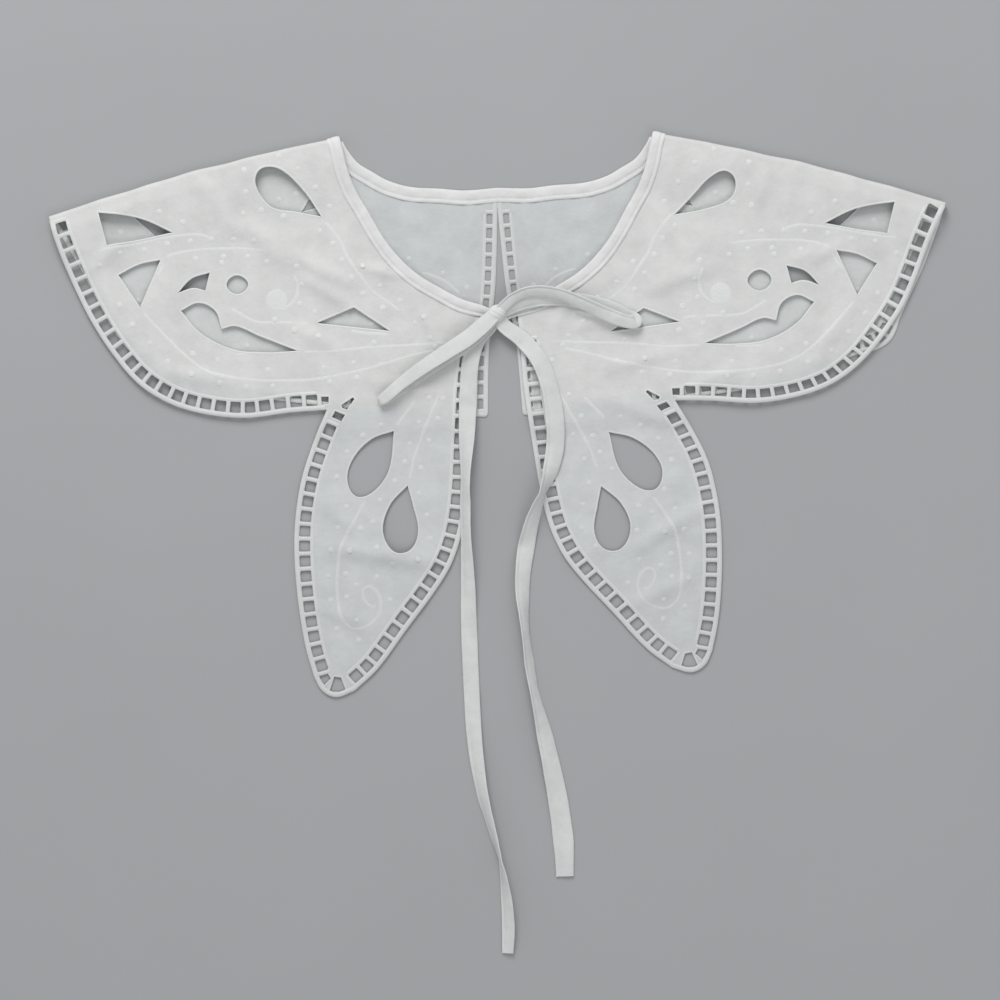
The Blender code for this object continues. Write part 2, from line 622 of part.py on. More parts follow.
def make_tie(name, rows):
    """A flat band: its middle line rests at the rows' levels, and its width rolls about it."""
    route = smooth([row[:3] for row in rows], TIE_STEPS)
    looks = []
    for near, far in zip(rows, rows[1:] + rows[-1:]):
        for k in range(TIE_STEPS):
            looks.append([a + (b - a) * k / TIE_STEPS for a, b in zip(near[3:], far[3:])])
    points, faces, side = [], [], None
    for i, (spot, (width, roll)) in enumerate(zip(route, looks)):
        heading = (route[min(i + 1, len(route) - 1)] - route[max(i - 1, 0)]).normalized()
        flat = Vector((-heading.y, heading.x, 0.0))
        if side is None or flat.length > TIE_STEEP:
            flat.normalize()
            side = -flat if side is not None and flat.dot(side) < 0.0 else flat
        rise = math.sin(math.radians(roll))
        across = side * math.cos(math.radians(roll)) + Vector((0.0, 0.0, rise))
        lift = abs(rise) * width / 2 + WALL / 2
        middle = spot + Vector((0.0, 0.0, lift))
        points += [middle - across * width / 2, middle, middle + across * width / 2]
        if i:
            for k in (3 * i - 3, 3 * i - 2):
                faces.append((k, k + 3, k + 4, k + 1))
    add_object(name, points, faces, BIAS_COTTON, WALL)


def centre_on_origin():
    """Moves the collar so that the middle of its footprint is the origin, on the table."""
    bpy.context.view_layer.update()
    graph = bpy.context.evaluated_depsgraph_get()
    corners = []
    for piece in bpy.data.collections[NAME].objects:
        if piece.type == "MESH":
            mesh = piece.evaluated_get(graph).to_mesh()
            corners += [piece.matrix_world @ vertex.co for vertex in mesh.vertices]
    low = [min(corner[axis] for corner in corners) for axis in range(3)]
    high = [max(corner[axis] for corner in corners) for axis in range(3)]
    centre = bpy.data.objects[NAME + "_centre"]
    centre.location = (-(low[0] + high[0]) / 2, -(low[1] + high[1]) / 2, -low[2])
    bpy.context.view_layer.update()
    print("centred by", tuple(centre.location))


def main():
    for old in list(bpy.data.objects):
        bpy.data.objects.remove(old, do_unlink=True)
    collection = bpy.data.collections.new(NAME)
    bpy.context.scene.collection.children.link(collection)
    collection.objects.link(bpy.data.objects.new(NAME + "_centre", None))
    make_front("left", place_left, UPPER_WING, CUTWORK_LEFT)
    make_front("right", place_right, UPPER_WING_RIGHT, CUTWORK_RIGHT)
    make_back("left", place_left, BACK_SIDE)
    make_back("right", place_right_back, BACK_SIDE_RIGHT)
    make_bindings()
    make_knot()
    make_tie("tie_end_left", TIE_END_LEFT)
    make_tie("tie_end_right", TIE_END_RIGHT)
    make_tie("bow_loop_left", LOOP_LEFT)
    make_tie("bow_loop_right", LOOP_RIGHT)
    centre_on_origin()


main()
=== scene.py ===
# %% [markdown]
# # A cutwork lace collar, laid flat
# A detachable collar of white cotton lies on a pale table. Each half is one cloth, folded at the
# shoulder so that its front lies over its back. Ladder holes run inside the hems, leaves, drops
# and eyes are cut through, and every cut edge is sewn over with satin stitch. A bias binding
# covers the neck edge, and its two long ends are tied in a bow.
#
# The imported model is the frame: each finished piece takes the place of its plain solids, at the
# same place and size. So the sizes below are those of the solids, in millimetres as seen from
# above, and only the last step of each piece turns them into metres.

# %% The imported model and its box
import json
import math

import bpy
import numpy as np
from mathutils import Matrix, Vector, geometry, kdtree, noise

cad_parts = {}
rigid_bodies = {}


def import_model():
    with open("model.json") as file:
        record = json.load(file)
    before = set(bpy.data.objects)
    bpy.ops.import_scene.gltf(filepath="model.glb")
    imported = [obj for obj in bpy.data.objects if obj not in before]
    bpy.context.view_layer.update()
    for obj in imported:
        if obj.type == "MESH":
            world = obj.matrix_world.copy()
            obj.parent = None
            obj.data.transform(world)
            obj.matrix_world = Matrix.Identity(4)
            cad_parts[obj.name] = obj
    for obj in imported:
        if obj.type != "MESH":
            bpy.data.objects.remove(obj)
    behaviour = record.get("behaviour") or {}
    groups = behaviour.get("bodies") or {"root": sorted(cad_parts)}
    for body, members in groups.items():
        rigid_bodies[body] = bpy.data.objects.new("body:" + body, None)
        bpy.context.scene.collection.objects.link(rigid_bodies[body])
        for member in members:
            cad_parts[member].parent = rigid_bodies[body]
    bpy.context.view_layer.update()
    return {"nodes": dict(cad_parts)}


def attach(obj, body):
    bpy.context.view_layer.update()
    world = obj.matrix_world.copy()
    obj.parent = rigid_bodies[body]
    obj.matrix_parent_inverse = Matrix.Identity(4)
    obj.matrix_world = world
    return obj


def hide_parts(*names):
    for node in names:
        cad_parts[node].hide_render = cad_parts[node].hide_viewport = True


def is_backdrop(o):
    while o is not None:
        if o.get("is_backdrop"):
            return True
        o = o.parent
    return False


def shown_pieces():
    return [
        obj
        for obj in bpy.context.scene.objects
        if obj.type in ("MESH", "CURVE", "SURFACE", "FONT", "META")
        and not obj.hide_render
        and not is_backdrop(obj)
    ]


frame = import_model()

bpy.ops.object.select_all(action="DESELECT")
print("nodes", sorted(frame["nodes"]))

# %% [markdown]
# ## Camera, table and light
# The collar was seen straight from above, so the camera looks down on it. A long lens keeps the
# raised shoulder folds from spreading. The light is a broad soft lamp behind the neck, which
# gives each cut edge its thin shade on the near side, and a pale sky that fills the rest.

# %% Camera from above
VIEW_WIDTH = 0.560
VIEW_CENTRE = (0.00156, 0.0241)
LENS = 135.0
HALF_SENSOR = 18.0
bpy.ops.object.camera_add(
    location=(*VIEW_CENTRE, VIEW_WIDTH / 2 * LENS / HALF_SENSOR), rotation=(0.0, 0.0, 0.0)
)
camera = bpy.context.object
camera.name = "camera"
camera.data.lens = LENS
camera.data.clip_end = 20.0
bpy.context.scene.camera = camera
print("camera height", round(camera.location.z, 3), "m")

# %% Table and light
TABLE_SIZE = 6.0
bpy.ops.mesh.primitive_plane_add(size=TABLE_SIZE, location=(0.0, 0.0, -0.0001))
table = bpy.context.object
table.name = "table"
table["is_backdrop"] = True

LAMPS = (
    # name, place, size, power
    ("lamp_behind_neck", (-0.35, 1.55, 1.15), 1.0, 25.0),
    ("lamp_front", (0.5, -1.3, 1.7), 1.6, 9.0),
)
for name, place, size, power in LAMPS:
    bpy.ops.object.light_add(type="AREA", location=place)
    lamp = bpy.context.object
    lamp.name = name
    lamp.data.shape = "DISK"
    lamp.data.size = size
    lamp.data.energy = power
    lamp.rotation_euler = (-Vector(place)).to_track_quat("-Z", "Y").to_euler()

world = bpy.data.worlds.new("pale_sky")
world.use_nodes = True
world.node_tree.nodes["Background"].inputs["Color"].default_value = (0.955, 0.975, 1.0, 1.0)
world.node_tree.nodes["Background"].inputs["Strength"].default_value = 0.56
bpy.context.scene.world = world
bpy.context.scene.view_settings.view_transform = "Standard"
print("lamps", [row[0] for row in LAMPS])

# %% [markdown]
# ## The cut of the cloth
# These are the sizes and edge tables that the solids were made from. Points are (x, y) on smooth
# runs between corners, for the left half. The right half is its mirror image, turned a little.

# %% Sizes of the cloth, the fold and the ladders
WALL = 1.0
GAP = 0.3
BACK_Z = WALL / 2
FRONT_Z = WALL * 1.5 + GAP
WING_Z = WALL / 2
FOLD_OUTER = np.array((-250.5, 183.5))
FOLD_NECK = np.array((-87.5, 228.0))
FOLD_LIFT = 3.4
FOLD_REACH = 40.0
FOLD_RADIUS = (FRONT_Z + FOLD_LIFT - BACK_Z) / 2
FOLD_BOW = 3.0
FOLD_WAVE = 0.9
HEM_Y = 68.0
HEM_DROP = 13.0
CORD = 2.2
HOLE = 6.4
BAR = 2.2
PITCH = 8.6
SLIT_HOLE = 3.6
SLIT_PITCH = 7.9
UPPER_ENDS = (1.5, 3.0)
OUTER_ENDS = (5.0, 1.0)
INNER_ENDS = (2.0, 12.0)
HEM_ENDS = (1.5, 9.0)
SLIT_ENDS = (2.0, 10.0)
BINDING_FRONT = 7.3
BINDING_BACK = 8.2
BINDING_WALL = 1.0
CENTRE = np.array((0.093, 0.556, 0.0))
print("fold roll radius", FOLD_RADIUS)

# %% Edges of the left half
UPPER_WING = (
    (-247.5, 172.5), (-243.0, 160.0), (-236.0, 143.5), (-227.0, 125.5), (-215.5, 107.5),
    (-201.0, 90.5), (-184.0, 79.5), (-165.0, 73.5), (-141.0, 71.0), (-116.0, 74.0), (-96.0, 75.5),
)
UPPER_WING_RIGHT = (
    (-245.5, 173.0), (-240.0, 161.0), (-233.5, 144.5), (-225.0, 126.5), (-213.0, 109.5),
    (-199.0, 93.0), (-183.5, 81.0), (-165.0, 74.0), (-141.0, 71.0), (-116.0, 74.0), (-96.0, 75.5),
)
WING_OUTER = (
    (-95.0, 74.5), (-102.5, 56.5), (-109.0, 36.0), (-112.5, 13.5), (-113.0, -6.0),
    (-111.0, -31.5), (-107.0, -56.5), (-102.0, -74.5),
)
WING_TIP = ((-102.0, -74.5), (-97.5, -82.0), (-90.0, -85.3), (-80.0, -81.8))
WING_INNER = (
    (-80.0, -81.8), (-67.0, -69.5), (-50.5, -47.0), (-35.0, -26.0), (-26.0, -11.0), (-20.0, 7.0),
    (-16.8, 30.0), (-15.5, 58.0), (-14.0, 86.0), (-11.5, 111.5), (-9.8, 126.0),
)
NECK_FRONT = (
    (-8.0, 133.5), (-19.5, 137.0), (-32.0, 143.5), (-43.0, 150.0), (-52.5, 158.0), (-62.5, 170.0),
    (-72.0, 186.0), (-79.0, 198.0), (-83.5, 209.5), (-86.0, 220.0),
)
BACK_SIDE = (
    (-247.5, 178.5), (-239.0, 164.5), (-232.5, 153.5), (-220.0, 130.0), (-213.0, 117.5),
    (-203.5, 106.5), (-187.5, 96.5), (-166.5, 88.5), (-141.0, 83.5), (-116.0, 80.0), (-88.0, 76.5),
    (-54.5, 74.5), (-29.0, 73.0), (-6.5, 71.5),
)
BACK_SIDE_RIGHT = (
    (-246.5, 171.5), (-242.0, 160.0), (-236.5, 147.0), (-230.5, 135.0), (-225.5, 125.0),
    (-222.5, 118.5), (-220.5, 112.5), (-217.0, 107.0), (-210.5, 103.0), (-201.5, 101.0),
    (-187.5, 96.5), (-166.5, 88.5), (-141.0, 83.5), (-116.0, 80.0), (-88.0, 76.5),
    (-54.5, 74.5), (-29.0, 73.0), (-6.5, 71.5),
)
BACK_SLIT = ((-5.5, 72.5), (-4.8, 111.0), (-1.5, 142.0), (-0.3, 178.0), (-0.2, 196.0))
NECK_BACK = (
    (0.0, 199.5), (-18.0, 198.0), (-32.0, 199.0), (-48.5, 200.0), (-61.0, 203.5), (-70.0, 208.5),
    (-78.0, 213.5), (-84.0, 221.0), (-86.5, 225.5),
)
UPPER_EDGE = {"left": UPPER_WING, "right": UPPER_WING_RIGHT}
BACK_EDGE = {"left": BACK_SIDE, "right": BACK_SIDE_RIGHT}
print("edge points", len(UPPER_WING + WING_OUTER + WING_TIP + WING_INNER + NECK_FRONT))

# %% Shapes cut through the cloth
# Rows of x, y and whether the point is a sharp corner.
CORNER, ROUND = True, False
SHOULDER_DROP = (
    (-98.0, 183.0, CORNER), (-107.5, 196.5, ROUND), (-121.0, 208.0, ROUND), (-131.5, 207.5, ROUND),
    (-134.5, 199.0, ROUND), (-126.5, 188.0, ROUND), (-113.0, 185.5, ROUND),
)
RIGHT_DROP = (
    (-98.5, 181.0, CORNER), (-109.5, 191.5, ROUND), (-118.0, 199.5, ROUND), (-127.0, 203.0, ROUND),
    (-133.0, 197.5, ROUND), (-130.5, 188.5, ROUND), (-116.0, 183.5, ROUND),
)
BACK_DROP = (
    (-109.5, 185.5, CORNER), (-101.5, 188.0, ROUND), (-93.5, 193.5, ROUND), (-92.5, 200.5, ROUND),
    (-98.5, 201.5, ROUND), (-104.0, 194.5, ROUND),
)
SIDE_LEAF = (
    (-181.0, 174.5, CORNER), (-200.0, 182.0, ROUND), (-222.5, 185.0, CORNER),
    (-218.0, 167.5, CORNER), (-202.5, 170.0, ROUND),
)
BACK_LEAF = (
    (-166.0, 172.0, CORNER), (-184.0, 181.5, ROUND), (-206.5, 185.0, CORNER),
    (-188.0, 168.5, CORNER), (-178.0, 168.5, ROUND),
)
SIDE_TRIANGLE = (
    (-212.0, 150.5, CORNER), (-199.5, 132.0, CORNER), (-188.0, 159.0, CORNER), (-200.0, 156.5, ROUND),
)
CRESCENT = (
    (-179.0, 140.0, CORNER), (-170.0, 143.0, ROUND), (-163.0, 141.5, CORNER), (-160.5, 152.0, CORNER),
    (-171.0, 148.5, ROUND),
)
EYELET = ((-151.5, 145.0, ROUND), (-145.5, 139.5, ROUND), (-139.0, 145.0, ROUND), (-145.5, 150.5, ROUND))
WING_EYE = (
    (-177.0, 130.5, CORNER), (-166.0, 118.0, ROUND), (-148.0, 108.8, ROUND), (-128.0, 107.0, ROUND),
    (-111.0, 108.0, CORNER), (-133.0, 116.5, ROUND), (-146.0, 122.0, ROUND), (-154.0, 120.5, CORNER),
    (-157.5, 130.5, ROUND), (-167.0, 135.0, ROUND),
)
FRONT_TRIANGLE = ((-101.5, 123.5, CORNER), (-59.5, 119.0, CORNER), (-80.0, 132.5, CORNER))
UPPER_DROP = (
    (-57.5, 63.5, CORNER), (-70.0, 59.0, ROUND), (-80.0, 49.0, ROUND), (-84.0, 37.0, ROUND),
    (-79.5, 26.8, ROUND), (-70.0, 28.5, ROUND), (-60.5, 41.0, ROUND),
)
LOWER_DROP = (
    (-50.0, 33.0, CORNER), (-60.0, 22.0, ROUND), (-64.0, 7.5, ROUND), (-58.0, -4.2, ROUND),
    (-48.5, -3.5, ROUND), (-44.0, 7.0, ROUND), (-47.0, 22.0, ROUND),
)
NOTCH_GUSSET = (
    (-87.2, 77.9, CORNER), (-80.6, 82.3, CORNER), (-79.6, 81.0, CORNER), (-83.8, 75.0, CORNER),
    (-86.8, 76.0, CORNER),
)
TIP_GUSSET = (
    (-91.2, -74.0, CORNER), (-87.2, -74.6, CORNER), (-84.7, -81.4, CORNER), (-86.2, -82.9, CORNER),
    (-94.2, -83.0, CORNER),
)
TIP_LINK = (
    (-100.2, -73.3, CORNER), (-94.8, -71.9, CORNER), (-92.8, -75.2, CORNER), (-96.6, -79.2, CORNER),
    (-98.8, -76.6, CORNER),
)
HEM_LINK = ((-98.6, 82.6, CORNER), (-94.0, 82.6, CORNER), (-94.0, 78.2, CORNER), (-98.6, 77.6, CORNER))
WING_LINK = ((-92.6, 71.0, CORNER), (-90.6, 74.6, CORNER), (-84.8, 72.3, CORNER), (-87.0, 68.3, CORNER))
# Where each shape is cut: shape, shift x, shift y, size.
CUTWORK = {
    "left": (
        (SHOULDER_DROP, 0.0, 0.0, 1.0), (SIDE_LEAF, 0.0, -1.2, 1.0), (SIDE_TRIANGLE, 0.0, 0.0, 1.0),
        (CRESCENT, 0.0, 0.0, 1.0), (EYELET, 0.0, 0.0, 1.0), (WING_EYE, 0.0, 0.0, 1.0),
        (FRONT_TRIANGLE, 0.0, 0.0, 1.0), (UPPER_DROP, 0.0, 0.0, 1.0), (LOWER_DROP, 0.0, 0.0, 1.0),
        (NOTCH_GUSSET, 0.0, 0.0, 1.0), (TIP_GUSSET, 0.0, 0.0, 1.0), (HEM_LINK, 0.0, 0.0, 1.0),
        (TIP_LINK, 0.0, 0.0, 1.0), (WING_LINK, 0.0, 0.0, 1.0),
    ),
    "right": (
        (RIGHT_DROP, 0.0, 0.0, 1.0), (SIDE_LEAF, 0.0, -1.7, 0.95), (SIDE_TRIANGLE, 0.0, 0.0, 0.95),
        (CRESCENT, 0.0, -1.0, 1.0), (EYELET, 0.0, -2.0, 1.1), (WING_EYE, 0.0, 0.0, 0.95),
        (FRONT_TRIANGLE, 0.0, -2.5, 0.95), (UPPER_DROP, 0.0, -5.5, 1.0), (LOWER_DROP, 0.0, -7.0, 1.0),
        (NOTCH_GUSSET, 0.0, 0.0, 1.0), (TIP_GUSSET, 0.0, 0.0, 1.0), (HEM_LINK, 0.0, 0.0, 1.0),
        (TIP_LINK, 0.0, 0.0, 1.0), (WING_LINK, 0.0, 0.0, 1.0),
    ),
    "back": (
        (BACK_DROP, 0.0, 0.0, 1.0), (BACK_LEAF, 0.0, 0.0, 1.0), (CRESCENT, 0.0, 0.0, 1.35),
    ),
}
print("shapes cut in the left front", len(CUTWORK["left"]))

# %% How the right half lies
RIGHT_TURN = 1.8
RIGHT_PIVOT = np.array((0.0, 195.0))
WING_SWING = 3.2
WING_PIVOT = np.array((10.0, 110.0))
WING_SWING_TOP = 115.0
WING_SWING_LENGTH = 90.0
RIGHT_WING_LENGTH = 0.97
RIGHT_OPENING = 2.2
OPENING_TOP = 125.0
OPENING_LENGTH = 40.0
OPENING_SIDE = 10.0
OPENING_REACH = 100.0
SLIT_OPENING = 2.6
SLIT_REACH = 80.0
print("right half turned", RIGHT_TURN, "degrees")

# %% [markdown]
# ## Runs and places
# A few helpers follow an edge. `smooth` draws a soft run through the table's points, `walk`
# gives points at set distances along it with the direction to its left, and `ladder` sets out
# the square holes between the bars of a hem.

# %% Helpers for runs


def smoothstep(value):
    """0 below 0, 1 above 1, and a soft rise between."""
    value = np.clip(value, 0.0, 1.0)
    return value * value * (3.0 - 2.0 * value)


def smooth(points, steps=10):
    """A smooth run through the points, with `steps` stretches between two of them."""
    points = [Vector([float(number) for number in point]) for point in points]
    run = [points[0]]
    for i in range(len(points) - 1):
        start, end = points[i], points[i + 1]
        before = points[max(i - 1, 0)]
        after = points[min(i + 2, len(points) - 1)]
        reach = (end - start).length / 3.0
        leave = start + (end - before).normalized() * reach
        arrive = end - (after - start).normalized() * reach
        run += geometry.interpolate_bezier(start, leave, arrive, end, steps + 1)[1:]
    return np.array(run)


def lengths_along(run):
    return np.concatenate([[0.0], np.cumsum(np.linalg.norm(np.diff(run, axis=0), axis=1))])


def walk(run, distances, nudge=0.4):
    """Points at these distances along a run, and the directions along it."""
    lengths = lengths_along(run)

    def spots(d):
        return np.stack([np.interp(d, lengths, run[:, k]) for k in range(run.shape[1])], axis=1)

    distances = np.asarray(distances, float)
    ahead = spots(np.minimum(distances + nudge, lengths[-1])) - spots(np.maximum(distances - nudge, 0.0))
    ahead /= np.maximum(np.linalg.norm(ahead, axis=1), 1e-9)[:, None]
    return spots(distances), ahead


def left_of(ahead):
    return np.stack([-ahead[:, 1], ahead[:, 0]], axis=1)


def spaced(run, step, offset=0.0):
    """Points about `step` apart along a run, moved to its left by `offset`."""
    total = lengths_along(run)[-1]
    count = max(round(total / step), 2)
    points, ahead = walk(run, np.linspace(0.0, total, count + 1))
    return points + left_of(ahead) * offset


print("helpers for runs ready")

# %% Ladder holes, with rounded corners
EDGE_STEP = 1.6
HOLE_ROUND = 1.3


def rounded(corners, radius):
    """A closed outline whose corners are rounded off."""
    outline = []
    for i, corner in enumerate(corners):
        before, after = corners[i - 1], corners[(i + 1) % len(corners)]
        start = corner + (before - corner) / np.linalg.norm(before - corner) * radius
        end = corner + (after - corner) / np.linalg.norm(after - corner) * radius
        for share in (0.0, 0.25, 0.5, 0.75, 1.0):
            near = start + (corner - start) * share
            far = corner + (end - corner) * share
            outline.append(near + (far - near) * share)
    return np.array(outline)


def ladder(run, ends, hole=HOLE, wanted_pitch=PITCH):
    """A hem's edge, its holes, and its bars as (outer end, inner end)."""
    total = lengths_along(run)[-1]
    first, last = ends
    usable = total - first - last
    count = round(usable / wanted_pitch)
    pitch = usable / count
    holes, bars = [], []
    for k in range(count + 1):
        (middle,), ahead = walk(run, [first + k * pitch])
        (inward,) = left_of(ahead)
        bars.append((middle + inward * CORD * 0.6, middle + inward * (CORD + hole + 0.5)))
        if k == count:
            break
        sides, ahead = walk(run, [first + k * pitch + BAR / 2, first + (k + 1) * pitch - BAR / 2])
        inward = left_of(ahead)
        corners = [
            sides[0] + inward[0] * CORD, sides[1] + inward[1] * CORD,
            sides[1] + inward[1] * (CORD + hole), sides[0] + inward[0] * (CORD + hole),
        ]
        holes.append(rounded(corners, HOLE_ROUND))
    return spaced(run, EDGE_STEP), holes, bars


hem_run = smooth(WING_OUTER)
print("holes along the wing's outer hem", len(ladder(hem_run, OUTER_ENDS)[1]))

# %% Outlines of the cutwork
CURVE_STEP = 1.3


def cutwork(rows, shift_x, shift_y, size):
    """The closed outline of a hole, sharp at its corners and round between them."""
    points = np.array([row[:2] for row in rows])
    count = len(points)
    middle = points.mean(axis=0)
    points = middle + (points - middle) * size + np.array((shift_x, shift_y))
    corners = [i for i, row in enumerate(rows) if row[2]]
    if not corners:
        ring = smooth(np.concatenate([points[-1:], points, points[:2]]))
        return spaced(ring[10:10 * (count + 1) + 1], CURVE_STEP)[:-1]
    outline = []
    for first, last in zip(corners, corners[1:] + [corners[0] + count]):
        run = smooth([points[i % count] for i in range(first, last + 1)])
        outline.append(spaced(run, CURVE_STEP)[:-1])
    return np.concatenate(outline)


shapes = {side: [cutwork(*row) for row in rows] for side, rows in CUTWORK.items()}
print("points round the shoulder drop", len(shapes["left"][0]))

# %% [markdown]
# ## Laying the cloth
# Each point of a flat cut is laid where the solids have it: the back on the table, the front on
# the back and round the shoulder fold in a soft roll, and the lower wing down on the table.
# Then the creases are added, as soft ridges in the cloth.

# %% The shoulder fold
FOLD_LENGTH = np.linalg.norm(FOLD_NECK - FOLD_OUTER)
ALONG = (FOLD_NECK - FOLD_OUTER) / FOLD_LENGTH
OUTWARD = np.array((-ALONG[1], ALONG[0]))
FOLD_START = FOLD_OUTER - OUTWARD * (FOLD_RADIUS + WALL / 2)
ROLL = math.pi * FOLD_RADIUS
CLOTH = 0.5
SINK = (WALL - CLOTH) / 2


def fold_bow(points):
    """How far the shoulder fold bows outward here."""
    share = np.clip((points - FOLD_START) @ ALONG / FOLD_LENGTH, 0.0, 1.0)
    inward = np.maximum(-((points - FOLD_START) @ OUTWARD), 0.0)
    wave = np.array([FOLD_WAVE * noise.noise(Vector((9.0 * s, 2.0, 0.0))) for s in share])
    bow = (FOLD_BOW + wave) * np.sin(math.pi * share) * (1.0 - smoothstep(inward / FOLD_REACH))
    return OUTWARD * bow[:, None]


print("roll length", round(ROLL, 2))

# %% Creases
# Rows of start x, start y, end x, end y, half width, height.
FRONT_CREASES = (
    (-84.0, 152.0, -50.0, 146.0, 6.0, 0.8), (-128.0, 178.0, -96.0, 146.0, 9.0, 1.0),
    (-206.0, 116.0, -168.0, 168.0, 11.0, 1.2), (-96.0, 30.0, -34.0, -14.0, 12.0, 1.0),
)
SOFT_END = 0.15
CREASING = 3.0
FINE_CREASES = {
    "left": (
        (-76.0, 155.6, -54.5, 149.4, 2.2, 0.55), (-112.0, 160.0, -84.0, 146.0, 4.0, 0.5),
        (-110.0, 149.5, -80.0, 131.5, 4.0, 0.55), (-138.0, 176.0, -118.0, 158.0, 5.5, 0.45),
        (-169.0, 205.0, -146.0, 175.0, 4.5, 0.35), (-114.0, 121.0, -88.0, 109.0, 4.0, 0.45),
        (-46.0, 137.0, -32.0, 111.0, 4.0, 0.5), (-94.0, -2.0, -38.0, -9.5, 5.0, 0.75),
        (-100.0, 26.0, -76.0, 4.0, 4.5, 0.4), (-104.0, -34.0, -72.0, -46.0, 4.0, 0.35),
        (-40.0, 64.0, -31.0, 14.0, 4.5, 0.35), (-74.0, 92.0, -30.0, 84.0, 3.5, 0.4),
        (-232.0, 150.0, -206.0, 172.0, 4.0, 0.35), (-190.0, 96.0, -150.0, 92.0, 4.5, 0.35),
        (-220.0, 178.0, -196.0, 196.0, 5.0, 0.3), (-152.0, 178.0, -120.0, 172.0, 5.0, 0.3),
        (-70.0, 22.0, -44.0, -34.0, 4.5, 0.3),
    ),
    "right": (
        (-88.0, 186.0, -104.0, 158.0, 5.0, 0.6), (-166.0, 153.5, -179.0, 160.0, 3.0, 0.4),
        (-172.0, 151.0, -190.0, 161.0, 3.0, 0.4), (-194.0, 126.0, -175.0, 97.0, 5.0, 0.45),
        (-152.0, 204.0, -143.0, 178.0, 4.0, 0.4), (-120.0, 152.0, -84.0, 140.0, 5.0, 0.55),
        (-66.0, 128.0, -40.0, 119.0, 3.5, 0.5), (-98.0, 104.0, -60.0, 97.0, 4.0, 0.4),
        (-36.0, 136.0, -26.0, 104.0, 4.0, 0.45), (-92.0, 60.0, -60.0, 78.0, 4.5, 0.4),
        (-104.0, 8.0, -64.0, -12.0, 5.0, 0.6), (-96.0, -30.0, -60.0, -44.0, 4.5, 0.4),
        (-44.0, 52.0, -30.0, 22.0, 4.0, 0.35), (-226.0, 142.0, -204.0, 168.0, 4.5, 0.3),
        (-206.0, 190.0, -180.0, 206.0, 5.0, 0.3), (-130.0, 92.0, -104.0, 84.0, 4.0, 0.35),
    ),
}
BACK_CREASES = (
    (-70.0, 188.0, -26.0, 176.0, 5.0, 0.5), (-56.0, 168.0, -20.0, 158.0, 4.0, 0.4),
    (-24.0, 190.0, -14.0, 160.0, 4.0, 0.35), (-120.0, 150.0, -80.0, 120.0, 6.0, 0.3),
)


def creases(points, rows):
    """The height that the creases add at these points of a flat cut."""
    height = np.zeros(len(points))
    for x0, y0, x1, y1, half_width, rise in rows:
        start, line = np.array((x0, y0)), np.array((x1 - x0, y1 - y0))
        share = np.clip((points - start) @ line / (line @ line), 0.0, 1.0)
        aside = np.linalg.norm(points - start - share[:, None] * line, axis=1) / half_width
        wave = SOFT_END + (1.0 - 2.0 * SOFT_END) * share
        height += rise * np.exp(-aside * aside) * np.sin(math.pi * wave)
    return height


def unevenness(points, size, height, seed):
    """Slight waves of the cloth, never below its own level."""
    return np.array([
        height * (0.5 + 0.5 * noise.noise(Vector((x / size, y / size, seed)))) for x, y in points
    ])


print("fine creases", {side: len(rows) for side, rows in FINE_CREASES.items()})

# %% Laying a point on the table or on the back


def on_front(points, side):
    """Points of the front's flat cut, laid on the back and round the shoulder fold."""
    points = np.asarray(points, float)[:, :2]
    past = (points - FOLD_START) @ OUTWARD
    bowed = points + fold_bow(points)
    angle = np.clip(past / FOLD_RADIUS, 0.0, math.pi)
    reach = np.where(past > 0.0, FOLD_RADIUS * np.sin(angle) - past, 0.0)
    rolled = FRONT_Z + FOLD_LIFT - FOLD_RADIUS * (1.0 - np.cos(angle))
    flat = FRONT_Z + FOLD_LIFT * (1.0 - smoothstep(-past / FOLD_REACH))
    flat += (WING_Z - FRONT_Z) * smoothstep((HEM_Y - points[:, 1]) / HEM_DROP)
    calm = smoothstep(-past / 8.0)
    flat += creases(points, FRONT_CREASES) + CREASING * creases(points, FINE_CREASES[side]) * calm
    seed = 3.0 if side == "left" else 8.0
    flat += (unevenness(points, 30.0, 1.0, seed) + unevenness(points, 11.0, 0.5, seed + 1.0)) * calm
    level = np.where(past > 0.0, rolled, flat) - SINK
    return np.column_stack([bowed + reach[:, None] * OUTWARD, level])


def on_table(points):
    """Points of the back's flat cut."""
    points = np.asarray(points, float)[:, :2]
    level = BACK_Z - SINK + creases(points, BACK_CREASES)
    return np.column_stack([points + fold_bow(points), level])


def turned(points, pivot, degrees, length=1.0):
    """The points turned anticlockwise about an upright axis, their y drawn in first."""
    angle = np.radians(degrees)
    x, y = points[:, 0] - pivot[0], (points[:, 1] - pivot[1]) * length
    return np.column_stack([
        pivot[0] + x * np.cos(angle) - y * np.sin(angle),
        pivot[1] + x * np.sin(angle) + y * np.cos(angle),
        points[:, 2],
    ])


def place_left(points):
    return points


def place_right(points):
    """The mirror image, turned about the centre back, its wing swung out and wider."""
    x, y = points[:, 0], points[:, 1]
    below = smoothstep((OPENING_TOP - y) / OPENING_LENGTH)
    beside = 1.0 - smoothstep((-x - OPENING_SIDE) / OPENING_REACH)
    mirrored = np.column_stack([-x - RIGHT_OPENING * below * beside, y, points[:, 2]])
    placed = turned(mirrored, RIGHT_PIVOT, RIGHT_TURN)
    share = smoothstep((WING_SWING_TOP - y) / WING_SWING_LENGTH)
    return turned(placed, WING_PIVOT, WING_SWING * share, 1.0 + (RIGHT_WING_LENGTH - 1.0) * share)


def place_right_back(points):
    share = smoothstep(1.0 + points[:, 0] / SLIT_REACH)
    mirrored = np.column_stack([-points[:, 0], points[:, 1], points[:, 2]])
    return turned(mirrored, RIGHT_PIVOT, RIGHT_TURN + SLIT_OPENING * share)


